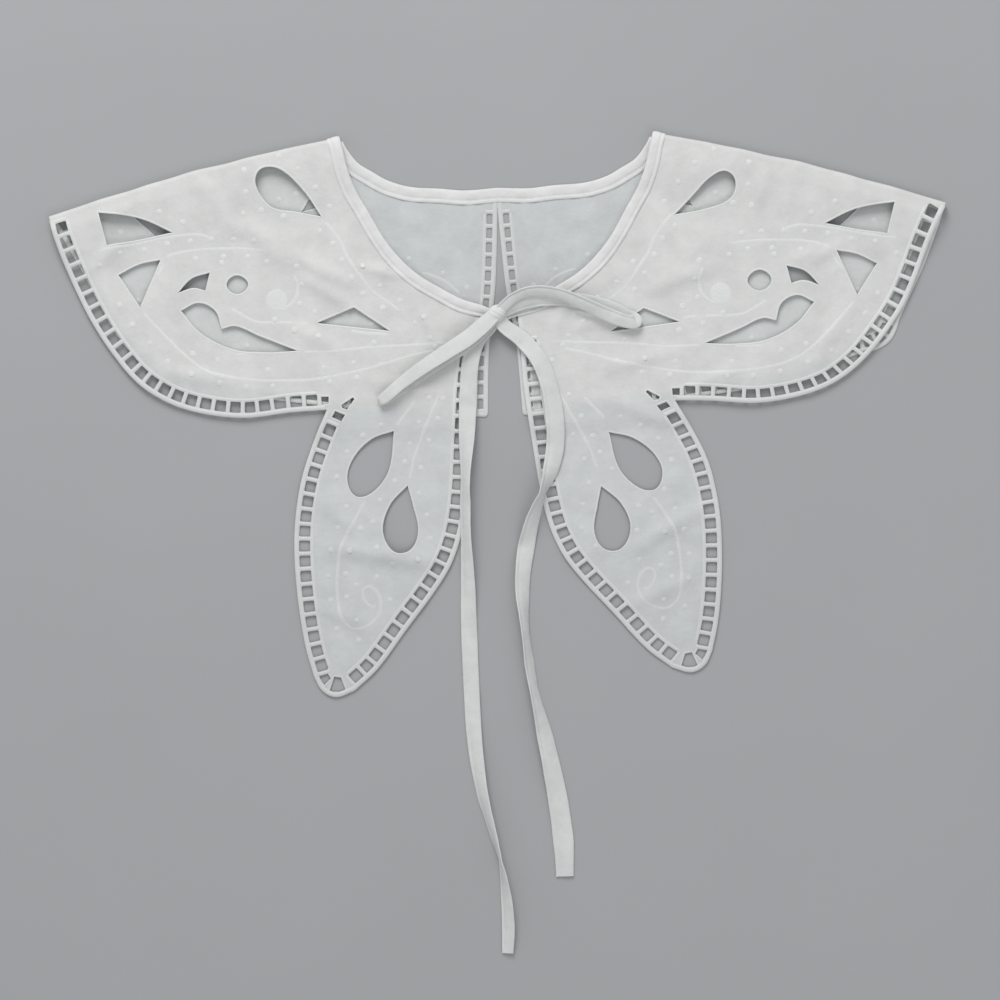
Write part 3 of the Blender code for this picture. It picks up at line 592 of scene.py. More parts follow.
LAY = {
    ("front", "left"): lambda points: place_left(on_front(points, "left")),
    ("front", "right"): lambda points: place_right(on_front(points, "right")),
    ("back", "left"): lambda points: place_left(on_table(points)),
    ("back", "right"): lambda points: place_right_back(on_table(points)),
}
print("left neck corner lies at", LAY["front", "left"]([NECK_FRONT[0]]).round(1))

# %% [markdown]
# ## Finishes
# All the cotton is white, yet it shows in several whites. Where one layer lies on the table it
# looks greyer than where two layers lie together; this grey is painted shade in the colour, and
# the cloth carries an attribute that says how doubled it is and so how much shade is painted. A
# shared group draws the plain weave in the cloth's own flat cut, and another draws the slanted
# threads of satin stitch along each cord.

# %% A helper for node trees


def add_node(tree, kind, **values):
    """A node with its settings and its named inputs set."""
    node = tree.nodes.new(kind)
    for key, value in values.items():
        if key.startswith("set_"):
            setattr(node, key[4:], value)
        else:
            name = int(key[1:]) if key[0] == "i" and key[1:].isdigit() else key.replace("_", " ")
            socket = node.inputs[name]
            if isinstance(value, bpy.types.NodeSocket):
                tree.links.new(value, socket)
            else:
                socket.default_value = value
    return node


def math_node(tree, operation, first, second=None):
    values = {"i0": first}
    if second is not None:
        values["i1"] = second
    return add_node(tree, "ShaderNodeMath", set_operation=operation, **values).outputs[0]


def new_group(name, inputs, outputs):
    """A shader group with named sockets, and its input and output nodes."""
    tree = bpy.data.node_groups.new(name, "ShaderNodeTree")
    for socket_name, kind, default in inputs:
        socket = tree.interface.new_socket(socket_name, in_out="INPUT", socket_type=kind)
        if default is not None:
            socket.default_value = default
    for socket_name, kind in outputs:
        tree.interface.new_socket(socket_name, in_out="OUTPUT", socket_type=kind)
    return tree, tree.nodes.new("NodeGroupInput"), tree.nodes.new("NodeGroupOutput")


print("node helpers ready")

# %% Plain weave


def make_weave_group():
    """Height and tone of a plain weave, from a flat cut in metres."""
    tree, given, made = new_group(
        "plain_weave",
        [("Cut", "NodeSocketVector", None), ("Thread Pitch", "NodeSocketFloat", 0.0005),
         ("Bias Turn", "NodeSocketFloat", 0.0)],
        [("Height", "NodeSocketFloat"), ("Tone", "NodeSocketFloat")],
    )
    turn = add_node(tree, "ShaderNodeVectorRotate", set_rotation_type="Z_AXIS",
                    Vector=given.outputs["Cut"], Angle=given.outputs["Bias Turn"])
    slub = add_node(tree, "ShaderNodeTexNoise", Vector=given.outputs["Cut"], Scale=900.0, Detail=2.0)
    parts = add_node(tree, "ShaderNodeSeparateXYZ", Vector=turn.outputs[0])
    waves = []
    for axis in (0, 1):
        threads = math_node(tree, "DIVIDE", parts.outputs[axis], given.outputs["Thread Pitch"])
        waves.append(math_node(tree, "SINE", math_node(tree, "MULTIPLY", threads, math.pi)))
    over = math_node(tree, "MULTIPLY", waves[0], waves[1])
    crown = math_node(tree, "ABSOLUTE", over)
    height = math_node(tree, "MULTIPLY_ADD", over, 0.35)
    height.node.inputs[2].default_value = 0.4
    both = math_node(tree, "ADD", height, math_node(tree, "MULTIPLY", crown, 0.3))
    slubby = math_node(tree, "ADD", both, math_node(tree, "MULTIPLY", slub.outputs[0], 0.5))
    tree.links.new(slubby, made.inputs["Height"])
    cloudy = add_node(tree, "ShaderNodeTexNoise", Vector=given.outputs["Cut"], Scale=60.0,
                      Detail=6.0, Roughness=0.72)
    tree.links.new(cloudy.outputs[0], made.inputs["Tone"])
    return tree


weave_group = make_weave_group()
print("group", weave_group.name)

# %% Satin stitch


def make_satin_group():
    """Height and tone of threads that cross a cord at a slant."""
    tree, given, made = new_group(
        "satin_stitch",
        [("Along Cord", "NodeSocketVector", None), ("Thread Pitch", "NodeSocketFloat", 0.0005)],
        [("Height", "NodeSocketFloat"), ("Tone", "NodeSocketFloat")],
    )
    parts = add_node(tree, "ShaderNodeSeparateXYZ", Vector=given.outputs["Along Cord"])
    slant = math_node(tree, "MULTIPLY_ADD", parts.outputs[1], 0.35)
    tree.links.new(parts.outputs[0], slant.node.inputs[2])
    wobble = add_node(tree, "ShaderNodeTexNoise", Vector=given.outputs["Along Cord"], Scale=700.0)
    uneven = math_node(tree, "MULTIPLY_ADD", wobble.outputs[0], 0.0004)
    tree.links.new(slant, uneven.node.inputs[2])
    threads = math_node(tree, "DIVIDE", uneven, given.outputs["Thread Pitch"])
    wave = math_node(tree, "ABSOLUTE", math_node(tree, "SINE", math_node(tree, "MULTIPLY", threads, math.pi)))
    tree.links.new(wave, made.inputs["Height"])
    tree.links.new(wobble.outputs[0], made.inputs["Tone"])
    return tree


satin_group = make_satin_group()
print("group", satin_group.name)

# %% Materials of the cotton
# The single-layer whites are painted shade: the same white as the doubled ones, greyed where one layer lies on the
# table.
SINGLE_LAYER_PAINTED_SHADE = (0.515, 0.533, 0.534, 1.0)
DOUBLE_LAYER = (0.612, 0.612, 0.596, 1.0)
BIAS_SINGLE_PAINTED_SHADE = (0.575, 0.585, 0.58, 1.0)
BIAS_DOUBLE = (0.662, 0.662, 0.648, 1.0)
THREAD_WHITE = (0.662, 0.667, 0.654, 1.0)
SHADED = 0.9


def finish_material(name, roughness, sheen):
    material = bpy.data.materials.new(name)
    material.use_nodes = True
    shader = material.node_tree.nodes["Principled BSDF"]
    shader.inputs["Roughness"].default_value = roughness
    shader.inputs["Sheen Weight"].default_value = sheen
    shader.inputs["Sheen Roughness"].default_value = 0.5
    shader.inputs["Specular IOR Level"].default_value = 0.25
    return material, material.node_tree, shader


def tinted(tree, colour, tone, low, high):
    """The colour made a little lighter and darker by a tone."""
    ramp = add_node(tree, "ShaderNodeMapRange", Value=tone, To_Min=low, To_Max=high)
    ramp.inputs["From Min"].default_value = 0.3
    ramp.inputs["From Max"].default_value = 0.7
    mixed = add_node(tree, "ShaderNodeMix", set_data_type="RGBA", set_blend_type="MULTIPLY", i0=1.0)
    for key, value in ((6, colour), (7, ramp.outputs[0])):
        if isinstance(value, bpy.types.NodeSocket):
            tree.links.new(value, mixed.inputs[key])
        else:
            mixed.inputs[key].default_value = value
    return mixed.outputs[2]


def woven_material(name, shaded_single, double, pitch, turn):
    """Plain-weave cotton, with painted shade greying it where it lies in one layer."""
    material, tree, shader = finish_material(name, 0.85, 0.25)
    cut = add_node(tree, "ShaderNodeUVMap", set_uv_map="cut").outputs[0]
    weave = add_node(tree, "ShaderNodeGroup", set_node_tree=weave_group)
    tree.links.new(cut, weave.inputs["Cut"])
    weave.inputs["Thread Pitch"].default_value = pitch
    weave.inputs["Bias Turn"].default_value = turn
    # Painted shade: where the attribute is low, the greyed single-layer white is mixed in.
    layer_lights = add_node(tree, "ShaderNodeAttribute", set_attribute_name="layer_light").outputs["Fac"]
    whites = add_node(tree, "ShaderNodeMix", set_data_type="RGBA", i0=layer_lights)
    whites.inputs[6].default_value = shaded_single
    whites.inputs[7].default_value = double
    colour = tinted(tree, whites.outputs[2], weave.outputs["Tone"], SHADED, 1.05)
    tree.links.new(colour, shader.inputs["Base Color"])
    bump = add_node(tree, "ShaderNodeBump", Strength=0.35, Distance=0.00008, Height=weave.outputs["Height"])
    crumple = add_node(tree, "ShaderNodeTexNoise", Vector=cut, Scale=120.0, Detail=5.0, Roughness=0.6)
    soft = add_node(tree, "ShaderNodeBump", Strength=0.6, Distance=0.0009, Height=crumple.outputs[0])
    tree.links.new(bump.outputs[0], soft.inputs["Normal"])
    tree.links.new(soft.outputs[0], shader.inputs["Normal"])
    rough = add_node(tree, "ShaderNodeMapRange", Value=weave.outputs["Tone"], To_Min=0.78, To_Max=0.92)
    tree.links.new(rough.outputs[0], shader.inputs["Roughness"])
    return material


def thread_material(name, colour, pitch):
    """Satin stitch: close shiny threads across a cord."""
    material, tree, shader = finish_material(name, 0.55, 0.2)
    cut = add_node(tree, "ShaderNodeUVMap", set_uv_map="cut").outputs[0]
    satin = add_node(tree, "ShaderNodeGroup", set_node_tree=satin_group)
    tree.links.new(cut, satin.inputs["Along Cord"])
    satin.inputs["Thread Pitch"].default_value = pitch
    layer_lights = add_node(tree, "ShaderNodeAttribute", set_attribute_name="layer_light").outputs["Fac"]
    whites = add_node(tree, "ShaderNodeMix", set_data_type="RGBA", i0=layer_lights)
    # Painted shade: on single cloth the thread is greyed to 0.87 of its white.
    whites.inputs[6].default_value = [c * 0.87 for c in colour[:3]] + [1.0]
    whites.inputs[7].default_value = colour
    tree.links.new(tinted(tree, whites.outputs[2], satin.outputs["Tone"], 0.95, 1.02), shader.inputs["Base Color"])
    bump = add_node(tree, "ShaderNodeBump", Strength=0.4, Distance=0.0001, Height=satin.outputs["Height"])
    tree.links.new(bump.outputs[0], shader.inputs["Normal"])
    return material


cotton = woven_material("cotton_cloth", SINGLE_LAYER_PAINTED_SHADE, DOUBLE_LAYER, 0.00045, 0.0)
bias_cotton = woven_material("bias_cotton", BIAS_SINGLE_PAINTED_SHADE, BIAS_DOUBLE, 0.00045, math.pi / 4)
thread = thread_material("satin_thread", THREAD_WHITE, 0.0005)
print("materials", cotton.name, bias_cotton.name, thread.name)

# %% The table's finish
PALE_GREY = (0.345, 0.352, 0.357, 1.0)


def make_table_material():
    material, tree, shader = finish_material("pale_table", 0.7, 0.0)
    place = add_node(tree, "ShaderNodeTexCoord").outputs["Object"]
    grain = add_node(tree, "ShaderNodeTexNoise", Vector=place, Scale=6.0, Detail=3.0)
    tree.links.new(tinted(tree, PALE_GREY, grain.outputs[0], 0.985, 1.015), shader.inputs["Base Color"])
    return material


table.data.materials.append(make_table_material())
print("table finish", PALE_GREY[:3])

# %% [markdown]
# ## Making meshes from points
# Every piece of cloth here is an open or closed sheet worked out from its cut. One helper turns
# its points, in table millimetres, into a mesh at the collar's own place in metres, with the
# flat cut as its UV map and with the attribute that tells single cloth from doubled, which places the painted shade.

# %% The mesh helper
GROWN = 1.0 / 1000.0


TABLE_CLEAR = 0.02


def make_piece(name, points, faces, cut, layer_light, material):
    """A named mesh in metres. The table presses flat whatever would lie below it."""
    points = np.array(points, float)
    points[:, 2] = np.maximum(points[:, 2], TABLE_CLEAR)
    mesh = bpy.data.meshes.new(name)
    mesh.from_pydata(((points - CENTRE) * GROWN).tolist(), [], faces)
    corners = np.zeros(len(mesh.loops), np.int32)
    mesh.loops.foreach_get("vertex_index", corners)
    layer = mesh.uv_layers.new(name="cut")
    layer.data.foreach_set("uv", (np.asarray(cut)[corners] * GROWN).astype(np.float32).ravel())
    layer_lights = mesh.attributes.new("layer_light", "FLOAT", "POINT")
    layer_lights.data.foreach_set("value", np.broadcast_to(layer_light, len(points)).astype(np.float32))
    mesh.materials.append(material)
    piece = bpy.data.objects.new(name, mesh)
    bpy.context.scene.collection.objects.link(piece)
    return piece


def only(piece):
    """Makes this the only selected and the active object."""
    bpy.ops.object.select_all(action="DESELECT")
    piece.select_set(True)
    bpy.context.view_layer.objects.active = piece


def thicken(piece, thickness):
    """Gives an open sheet its wall, half to each side."""
    only(piece)
    bpy.ops.object.modifier_add(type="SOLIDIFY")
    wall = piece.modifiers[-1]
    wall.thickness = thickness * GROWN
    wall.offset = 0.0
    bpy.ops.object.modifier_apply(modifier=wall.name)


def soft_edges(piece, degrees):
    only(piece)
    bpy.ops.object.shade_smooth_by_angle(angle=math.radians(degrees))


def triangles_in(piece):
    return sum(len(face.vertices) - 2 for face in piece.data.polygons)


print("one unit is", GROWN, "m")

# %% Which points are inside an outline


def within(points, outline):
    """True for each point inside a closed outline."""
    found = np.zeros(len(points), bool)
    low, high = outline.min(axis=0), outline.max(axis=0)
    near = np.flatnonzero(((points >= low) & (points <= high)).all(axis=1))
    if not len(near):
        return found
    x, y = points[near, 0], points[near, 1]
    crossed = np.zeros(len(near), int)
    for a, b in zip(outline, np.roll(outline, -1, axis=0)):
        if a[1] == b[1]:
            continue
        spans = (a[1] > y) != (b[1] > y)
        crossed += spans & (x < a[0] + (y - a[1]) / (b[1] - a[1]) * (b[0] - a[0]))
    found[near] = crossed % 2 == 1
    return found


print("a point in the left wing's eye:", within(np.array([[-150.0, 115.0]]), shapes["left"][5])[0])

# %% [markdown]
# ## The cloth of each half
# A half is one cloth, so its back and front are filled as two flat cuts, laid, and joined along
# the fold. Filling the flat cut with triangles round its holes keeps every hole true, which a
# cut with a Boolean would roughen. The wall is then half a millimetre, thin for a sheet but
# thick enough to throw a shade at each cut edge.

# %% Outlines, holes and bars of the flat cuts
NECK_STEP = 2.0
FOLD_STATIONS = 76
ROLL_STEPS = 12


def neck_edge(run):
    """The cloth's own neck edge, hidden inside the binding."""
    return spaced(smooth(run), NECK_STEP, BINDING_WALL + GAP)


def front_cut(side):
    upper_run = smooth((FOLD_START, *UPPER_EDGE[side]))
    upper, upper_holes, upper_bars = ladder(upper_run, UPPER_ENDS)
    outer, outer_holes, outer_bars = ladder(smooth(WING_OUTER), OUTER_ENDS)
    inner, inner_holes, inner_bars = ladder(smooth(WING_INNER), INNER_ENDS)
    tip = spaced(smooth(WING_TIP), EDGE_STEP)[1:-1]
    neck = neck_edge(NECK_FRONT)
    reach = (neck[-1] - FOLD_START) @ ALONG
    stations = FOLD_START + ALONG * (np.linspace(0.0, reach, FOLD_STATIONS + 1))[:, None]
    rolls = np.outer(np.linspace(0.0, ROLL, ROLL_STEPS + 1), OUTWARD)
    outline = np.concatenate([
        upper, outer, tip, inner, neck, stations[-1] + rolls,
        stations[1:-1][::-1] + rolls[-1], FOLD_START + rolls[1:][::-1],
    ])
    extra = (stations[1:-1, None] + rolls[None, :-1]).reshape(-1, 2)
    holes = upper_holes + outer_holes + inner_holes + shapes[side]
    return {"outline": outline, "holes": holes, "extra": extra, "stations": stations,
            "bars": upper_bars + outer_bars + inner_bars}


def back_cut(side):
    hem, hem_holes, hem_bars = ladder(smooth((FOLD_START, *BACK_EDGE[side])), HEM_ENDS)
    slit, slit_holes, slit_bars = ladder(smooth(BACK_SLIT), SLIT_ENDS, SLIT_HOLE, SLIT_PITCH)
    neck = neck_edge(NECK_BACK)
    reach = (neck_edge(NECK_FRONT)[-1] - FOLD_START) @ ALONG
    top = FOLD_START + ALONG * (np.linspace(reach, 0.0, FOLD_STATIONS + 1))[:, None]
    outline = np.concatenate([hem, slit, neck[1:-1], top[:-1]])
    return {"outline": outline, "holes": hem_holes + slit_holes + shapes["back"],
            "extra": np.zeros((0, 2)), "bars": hem_bars + slit_bars}


cuts = {}
for side in ("left", "right"):
    cuts["front", side] = front_cut(side)
    cuts["back", side] = back_cut(side)
for key, cut in cuts.items():
    print(*key, "outline points", len(cut["outline"]), "holes", len(cut["holes"]))

# %% Filling a flat cut
GRID_STEP = 2.3
GRID_CLEAR = 1.5


def fill_cut(cut, past_limit):
    """Flat points and triangles of a cut, without its holes."""
    outline, holes = cut["outline"], cut["holes"]
    low, high = outline.min(axis=0), outline.max(axis=0)
    rows = np.arange(low[1], high[1], GRID_STEP * 0.866)
    grid = np.concatenate([
        np.column_stack([
            np.arange(low[0] + 0.5 * GRID_STEP * (row % 2), high[0], GRID_STEP),
            np.full(len(np.arange(low[0] + 0.5 * GRID_STEP * (row % 2), high[0], GRID_STEP)), y),
        ])
        for row, y in enumerate(rows)
    ])
    grid = grid[(grid - FOLD_START) @ OUTWARD < past_limit]
    grid = grid[within(grid, outline)]
    rims = np.concatenate([outline, *holes])
    tree = kdtree.KDTree(len(rims))
    for i, (x, y) in enumerate(rims):
        tree.insert((x, y, 0.0), i)
    tree.balance()
    grid = grid[[tree.find((x, y, 0.0))[2] > GRID_CLEAR for x, y in grid]]
    for hole in holes:
        grid = grid[~within(grid, hole)]
    rings, points = [], []
    for ring in [outline, *holes]:
        first = len(points)
        points += [Vector(point) for point in ring]
        rings += [(first + i, first + (i + 1) % len(ring)) for i in range(len(ring))]
    points += [Vector(point) for point in np.concatenate([cut["extra"], grid])]
    filled = geometry.delaunay_2d_cdt(points, rings, [], 1, 1e-5)
    flat = np.array(filled[0])
    faces = np.array(filled[2])
    middles = flat[faces].mean(axis=1)
    kept = np.ones(len(faces), bool)
    for hole in holes:
        kept &= ~within(middles, hole)
    return flat, faces[kept]


filled = {key: fill_cut(cut, -GRID_STEP / 2 if key[0] == "front" else 0.0) for key, cut in cuts.items()}
for key, (flat, faces) in filled.items():
    print(*key, "triangles", len(faces))

# %% How doubled the cloth is, which sets its painted shade
LAYER_BLUR = 5.0
# These levels set how much painted shade single cloth takes, 0 being the greyest: the lower wing rises from 0 at its
# tip, and the back lies at a middle level.
WING_LAYER_LIGHT = 0.4
WING_RISE = 130.0
BACK_LAYER_LIGHT = 0.45


def layer_light_front(points, side):
    """1 where the front lies on the back, and least at the lower wing's tip, where its painted shade is darkest."""
    outline = cuts["back", side]["outline"]
    total = np.zeros(len(points))
    turns = np.linspace(0.0, 2.0 * math.pi, 8, endpoint=False)
    for turn in turns:
        total += within(points + LAYER_BLUR * np.array((math.cos(turn), math.sin(turn))), outline)
    shaded_single = WING_LAYER_LIGHT * smoothstep((points[:, 1] - WING_TIP[2][1]) / WING_RISE)
    past = (points - FOLD_START) @ OUTWARD
    return np.where(past > -LAYER_BLUR, 1.0, np.maximum(total / len(turns), shaded_single))


def layer_light_back(points):
    """The back takes painted shade, greyest in the neck opening, where nothing lies on it."""
    open_neck = np.array((*NECK_FRONT, NECK_BACK[-1], *NECK_BACK[:1], (0.0, 130.0)))
    return np.where(within(points, open_neck), 0.0, BACK_LAYER_LIGHT)


print("doubled at the shoulder", layer_light_front(np.array([[-150.0, 180.0]]), "left")[0])

# %% One cloth for each half


def make_half(side):
    front_flat, front_faces = filled["front", side]
    back_flat, back_faces = filled["back", side]
    front = LAY["front", side](front_flat)
    back = LAY["back", side](back_flat)
    if side == "right":
        front_faces = front_faces[:, ::-1]
    else:
        back_faces = back_faces[:, ::-1]
    points = np.concatenate([front, back])
    faces = np.concatenate([front_faces, back_faces + len(front)]).tolist()
    beyond = np.concatenate([front_flat, back_flat * np.array((1.0, -1.0)) + np.array((0.0, 460.0))])
    layer_lights = np.concatenate([layer_light_front(front_flat, side), layer_light_back(back_flat)])
    cloth = make_piece("cloth_" + side, points, faces, beyond, layer_lights, cotton)
    only(cloth)
    bpy.ops.object.mode_set(mode="EDIT")
    bpy.ops.mesh.select_all(action="SELECT")
    bpy.ops.mesh.remove_doubles(threshold=0.00001)
    bpy.ops.object.mode_set(mode="OBJECT")
    thicken(cloth, CLOTH)
    soft_edges(cloth, 50.0)
    return cloth


cloths = {side: make_half(side) for side in ("left", "right")}
for side, cloth in cloths.items():
    print(cloth.name, triangles_in(cloth), "triangles")

# %% [markdown]
# ## Embroidery
# Satin stitch covers every cut edge, a rolled cord runs round the hems, thin cords draw the
# veins, and small knots are scattered beside them. A cord is a soft tube of eight sides laid on
# the cloth along a run of its flat cut, so it follows the creases and goes round the fold.

# %% Laying a cord on the cloth
CORD_SIDES = 8
CORD_LIFT = 0.1
REACH = 0.3


def surface(layer, side, points):
    """Where flat points lie, and the way up from the cloth's visible side there."""
    lay = LAY[layer, side]
    here = lay(points)
    east = lay(points + np.array((REACH, 0.0))) - here
    north = lay(points + np.array((0.0, REACH))) - here
    up = np.cross(east, north)
    up /= np.linalg.norm(up, axis=1)[:, None]
    return here, up * (1.0 if side == "left" else -1.0)


def cord_rings(layer, side, run, half_width, height, closed, taper):
    """The rings of a cord along a flat run, with its flat cut and how doubled it is."""
    count = len(run)
    if closed:
        ahead = np.roll(run, -1, axis=0) - np.roll(run, 1, axis=0)
    else:
        ahead = np.gradient(run, axis=0)
    ahead /= np.maximum(np.linalg.norm(ahead, axis=1), 1e-9)[:, None]
    here, up = surface(layer, side, run)
    there, _ = surface(layer, side, run + left_of(ahead) * REACH)
    across = there - here
    across /= np.linalg.norm(across, axis=1)[:, None]
    gone = lengths_along(run)
    sizes = np.ones(count)
    if taper and not closed:
        sizes = 0.25 + 0.75 * smoothstep(np.minimum(gone, gone[-1] - gone) / taper)
    angles = np.linspace(0.0, 2.0 * math.pi, CORD_SIDES, endpoint=False) - math.pi / 2
    rings = []
    for angle in angles:
        aside = across * (math.cos(angle) * half_width * sizes)[:, None]
        rings.append(here + aside + up * (math.sin(angle) * height * sizes + CORD_LIFT)[:, None])
    points = np.stack(rings, axis=1).reshape(-1, 3)
    around = np.tile(np.arange(CORD_SIDES) / CORD_SIDES * 2.0 * half_width * 2.0, count)
    cut = np.column_stack([np.repeat(gone, CORD_SIDES), around])
    return points, cut


def ring_faces(first, rings, closed, sides=CORD_SIDES):
    """Quads between neighbouring rings, and caps where the cord is open."""
    faces = []
    for row in range(rings if closed else rings - 1):
        near, far = first + row * sides, first + ((row + 1) % rings) * sides
        for i in range(sides):
            j = (i + 1) % sides
            faces.append((near + i, near + j, far + j, far + i))
    if not closed:
        faces.append(tuple(first + i for i in range(sides))[::-1])
        last = first + (rings - 1) * sides
        faces.append(tuple(last + i for i in range(sides)))
    return faces


def make_cords(name, rows, material=thread):
    """One piece from rows of (layer, side, flat run, half width, height, closed, taper)."""
    points, cuts_made, faces, layer_lights = [], [], [], []
    total = 0
    for layer, side, run, half_width, height, closed, taper in rows:
        run = np.asarray(run, float)
        ring_points, cut = cord_rings(layer, side, run, half_width, height, closed, taper)
        made = ring_faces(total, len(run), closed)
        if side == "right":
            made = [face[::-1] for face in made]
        faces += made
        points.append(ring_points)
        cuts_made.append(cut)
        layer_light = layer_light_front(run, side) if layer == "front" else layer_light_back(run)
        layer_lights.append(np.repeat(layer_light, CORD_SIDES))
        total += len(ring_points)
    piece = make_piece(name, np.concatenate(points), faces, np.concatenate(cuts_made), np.concatenate(layer_lights), material)
    soft_edges(piece, 60.0)
    return piece


print("cord sides", CORD_SIDES)

# %% Cords round hems, holes and bars
OUTER_CORD = (1.4, 0.5)
INNER_CORD = (1.05, 0.36)
BAR_CORD = (1.15, 0.36)
CUT_CORD = (0.6, 0.24)
CORD_STEP = 1.5


def outward_ring(outline, offset):
    """A closed outline moved out onto the cloth."""
    ahead = np.roll(outline, -1, axis=0) - np.roll(outline, 1, axis=0)
    ahead /= np.linalg.norm(ahead, axis=1)[:, None]
    area = np.sum(outline[:, 0] * np.roll(outline[:, 1], -1) - np.roll(outline[:, 0], -1) * outline[:, 1])
    return outline - left_of(ahead) * offset * np.sign(area)


def off_holes(points, holes, room):
    """True for each point that lies on cloth, with this much room to every hole."""
    clear = np.ones(len(points), bool)
    for hole in holes:
        clear &= ~within(points, outward_ring(hole, room))
    return clear


def past_fold(points):
    """How far points of a flat cut lie past the line where the shoulder's roll starts."""
    return (np.asarray(points) - FOLD_START) @ OUTWARD


def hem_cords(layer, side):
    """The outer and inner cords of each ladder, and a wrapped cord on every bar."""
    side_run = smooth((FOLD_START, *(UPPER_EDGE if layer == "front" else BACK_EDGE)[side]))
    if layer == "front":
        outer, inner = smooth(WING_OUTER), smooth(WING_INNER)
        hems = [(side_run, UPPER_ENDS, HOLE), (outer, OUTER_ENDS, HOLE), (inner, INNER_ENDS, HOLE)]
        rims = [side_run, np.concatenate([outer, smooth(WING_TIP)[1:], inner[1:]])]
    else:
        slit = smooth(BACK_SLIT)
        hems = [(side_run, HEM_ENDS, HOLE), (slit, SLIT_ENDS, SLIT_HOLE)]
        rims = [np.concatenate([side_run, slit])]
    bars = cuts[layer, side]["bars"]
    rows = []
    for run in rims:
        rows.append((layer, side, spaced(run, CORD_STEP, 0.95), *OUTER_CORD, False, 0.0))
    for run, (first, last), hole in hems:
        total = lengths_along(run)[-1]
        distances = np.arange(first, total - last, CORD_STEP)
        points, ahead = walk(run, distances)
        within_hem = points + left_of(ahead) * (CORD + hole + 0.85)
        rows.append((layer, side, within_hem[past_fold(within_hem) < -1.5], *INNER_CORD, False, 2.0))
    for outer_end, inner_end in bars:
        if past_fold(inner_end) > -1.0:
            continue
        steps = np.linspace(0.0, 1.0, 5)[:, None]
        rows.append((layer, side, outer_end + (inner_end - outer_end) * steps, *BAR_CORD, False, 0.0))
    return rows


def cutwork_cords(layer, side):
    outlines = shapes[side if layer == "front" else "back"]
    return [(layer, side, outward_ring(outline, 0.35), *CUT_CORD, True, 0.0) for outline in outlines]


for side in ("left", "right"):
    rows = hem_cords("front", side) + cutwork_cords("front", side)
    rows += hem_cords("back", side) + cutwork_cords("back", side)
    make_cords("edging_" + side, rows)

# %% [markdown]
# ## Veins and knots
# Thin cords draw the veins of the wings: they fan out from the bow, run round the cut shapes
# and curl at the tip of the lower wing. The runs below are a few points each, in steps of 0.56
# millimetres from the left and the top of the view, and a smooth run joins them.

# %% Veins
STEP = 0.56
STEP_ORIGIN = np.array((497.0, 544.0))
VEINS = (
    ((320, 217), (332, 230), (341, 243), (348, 258), (358, 272), (368, 287), (377, 295), (390, 304),
     (403, 313)),
    ((161, 261), (173, 255), (195, 251), (228, 249), (255, 250), (268, 252)),
    ((96, 252), (118, 249), (140, 245), (170, 239), (198, 236), (214, 240)),
    ((166, 262), (158, 275), (150, 288), (145, 298), (142, 308), (150, 320), (162, 333), (175, 346),
     (188, 358), (205, 370), (228, 377), (262, 381), (312, 380), (345, 374), (375, 367), (405, 358),
     (437, 350)),
    ((233, 355), (262, 354), (295, 352), (333, 352), (358, 349), (383, 347), (420, 345), (449, 343)),
    ((297, 323), (317, 324), (342, 327), (355, 332), (372, 334), (393, 335)),
    ((228, 307), (245, 317), (255, 322), (275, 323), (297, 323)),
    ((292, 272), (298, 286), (295, 300), (286, 308), (277, 311)),
    ((440, 392), (435, 404), (430, 416), (422, 436), (414, 458), (411, 474), (408, 482)),
    ((417, 398), (410, 408), (402, 418), (395, 429)),
    ((366, 499), (356, 518), (346, 536), (340, 550), (338, 566), (337, 584), (338, 600), (341, 616),
     (348, 626), (358, 629), (368, 626), (377, 618), (381, 607), (379, 596), (373, 588), (366, 587),
     (363, 594), (366, 602), (373, 607), (379, 603)),
)
VEIN_CORD = (1.4, 0.21)
VEIN_ROOM = 1.0
VEIN_TAPER = 3.0
BACK_VEINS = (((418, 272), (433, 276), (447, 283), (462, 296)),)


def seen(points):
    """Flat points, in millimetres, from steps in the view."""
    return (np.array(points, float) - STEP_ORIGIN) * np.array((STEP, -STEP))


def vein_cords(layer, side, table_rows):
    """A vein's cord, left out where the vein would cross a hole."""
    rows = []
    for vein in table_rows:
        run = spaced(smooth(seen(vein)), 1.8)
        kept = off_holes(run, cuts[layer, side]["holes"], VEIN_ROOM)
        parts = np.split(np.arange(len(run)), np.flatnonzero(np.diff(kept.astype(int))) + 1)
        rows += [
            (layer, side, run[part], *VEIN_CORD, False, VEIN_TAPER) for part in parts if kept[part[0]] and len(part) > 5
        ]
    return rows


for side in ("left", "right"):
    rows = vein_cords("front", side, VEINS) + vein_cords("back", side, BACK_VEINS)
    make_cords("veins_" + side, rows)

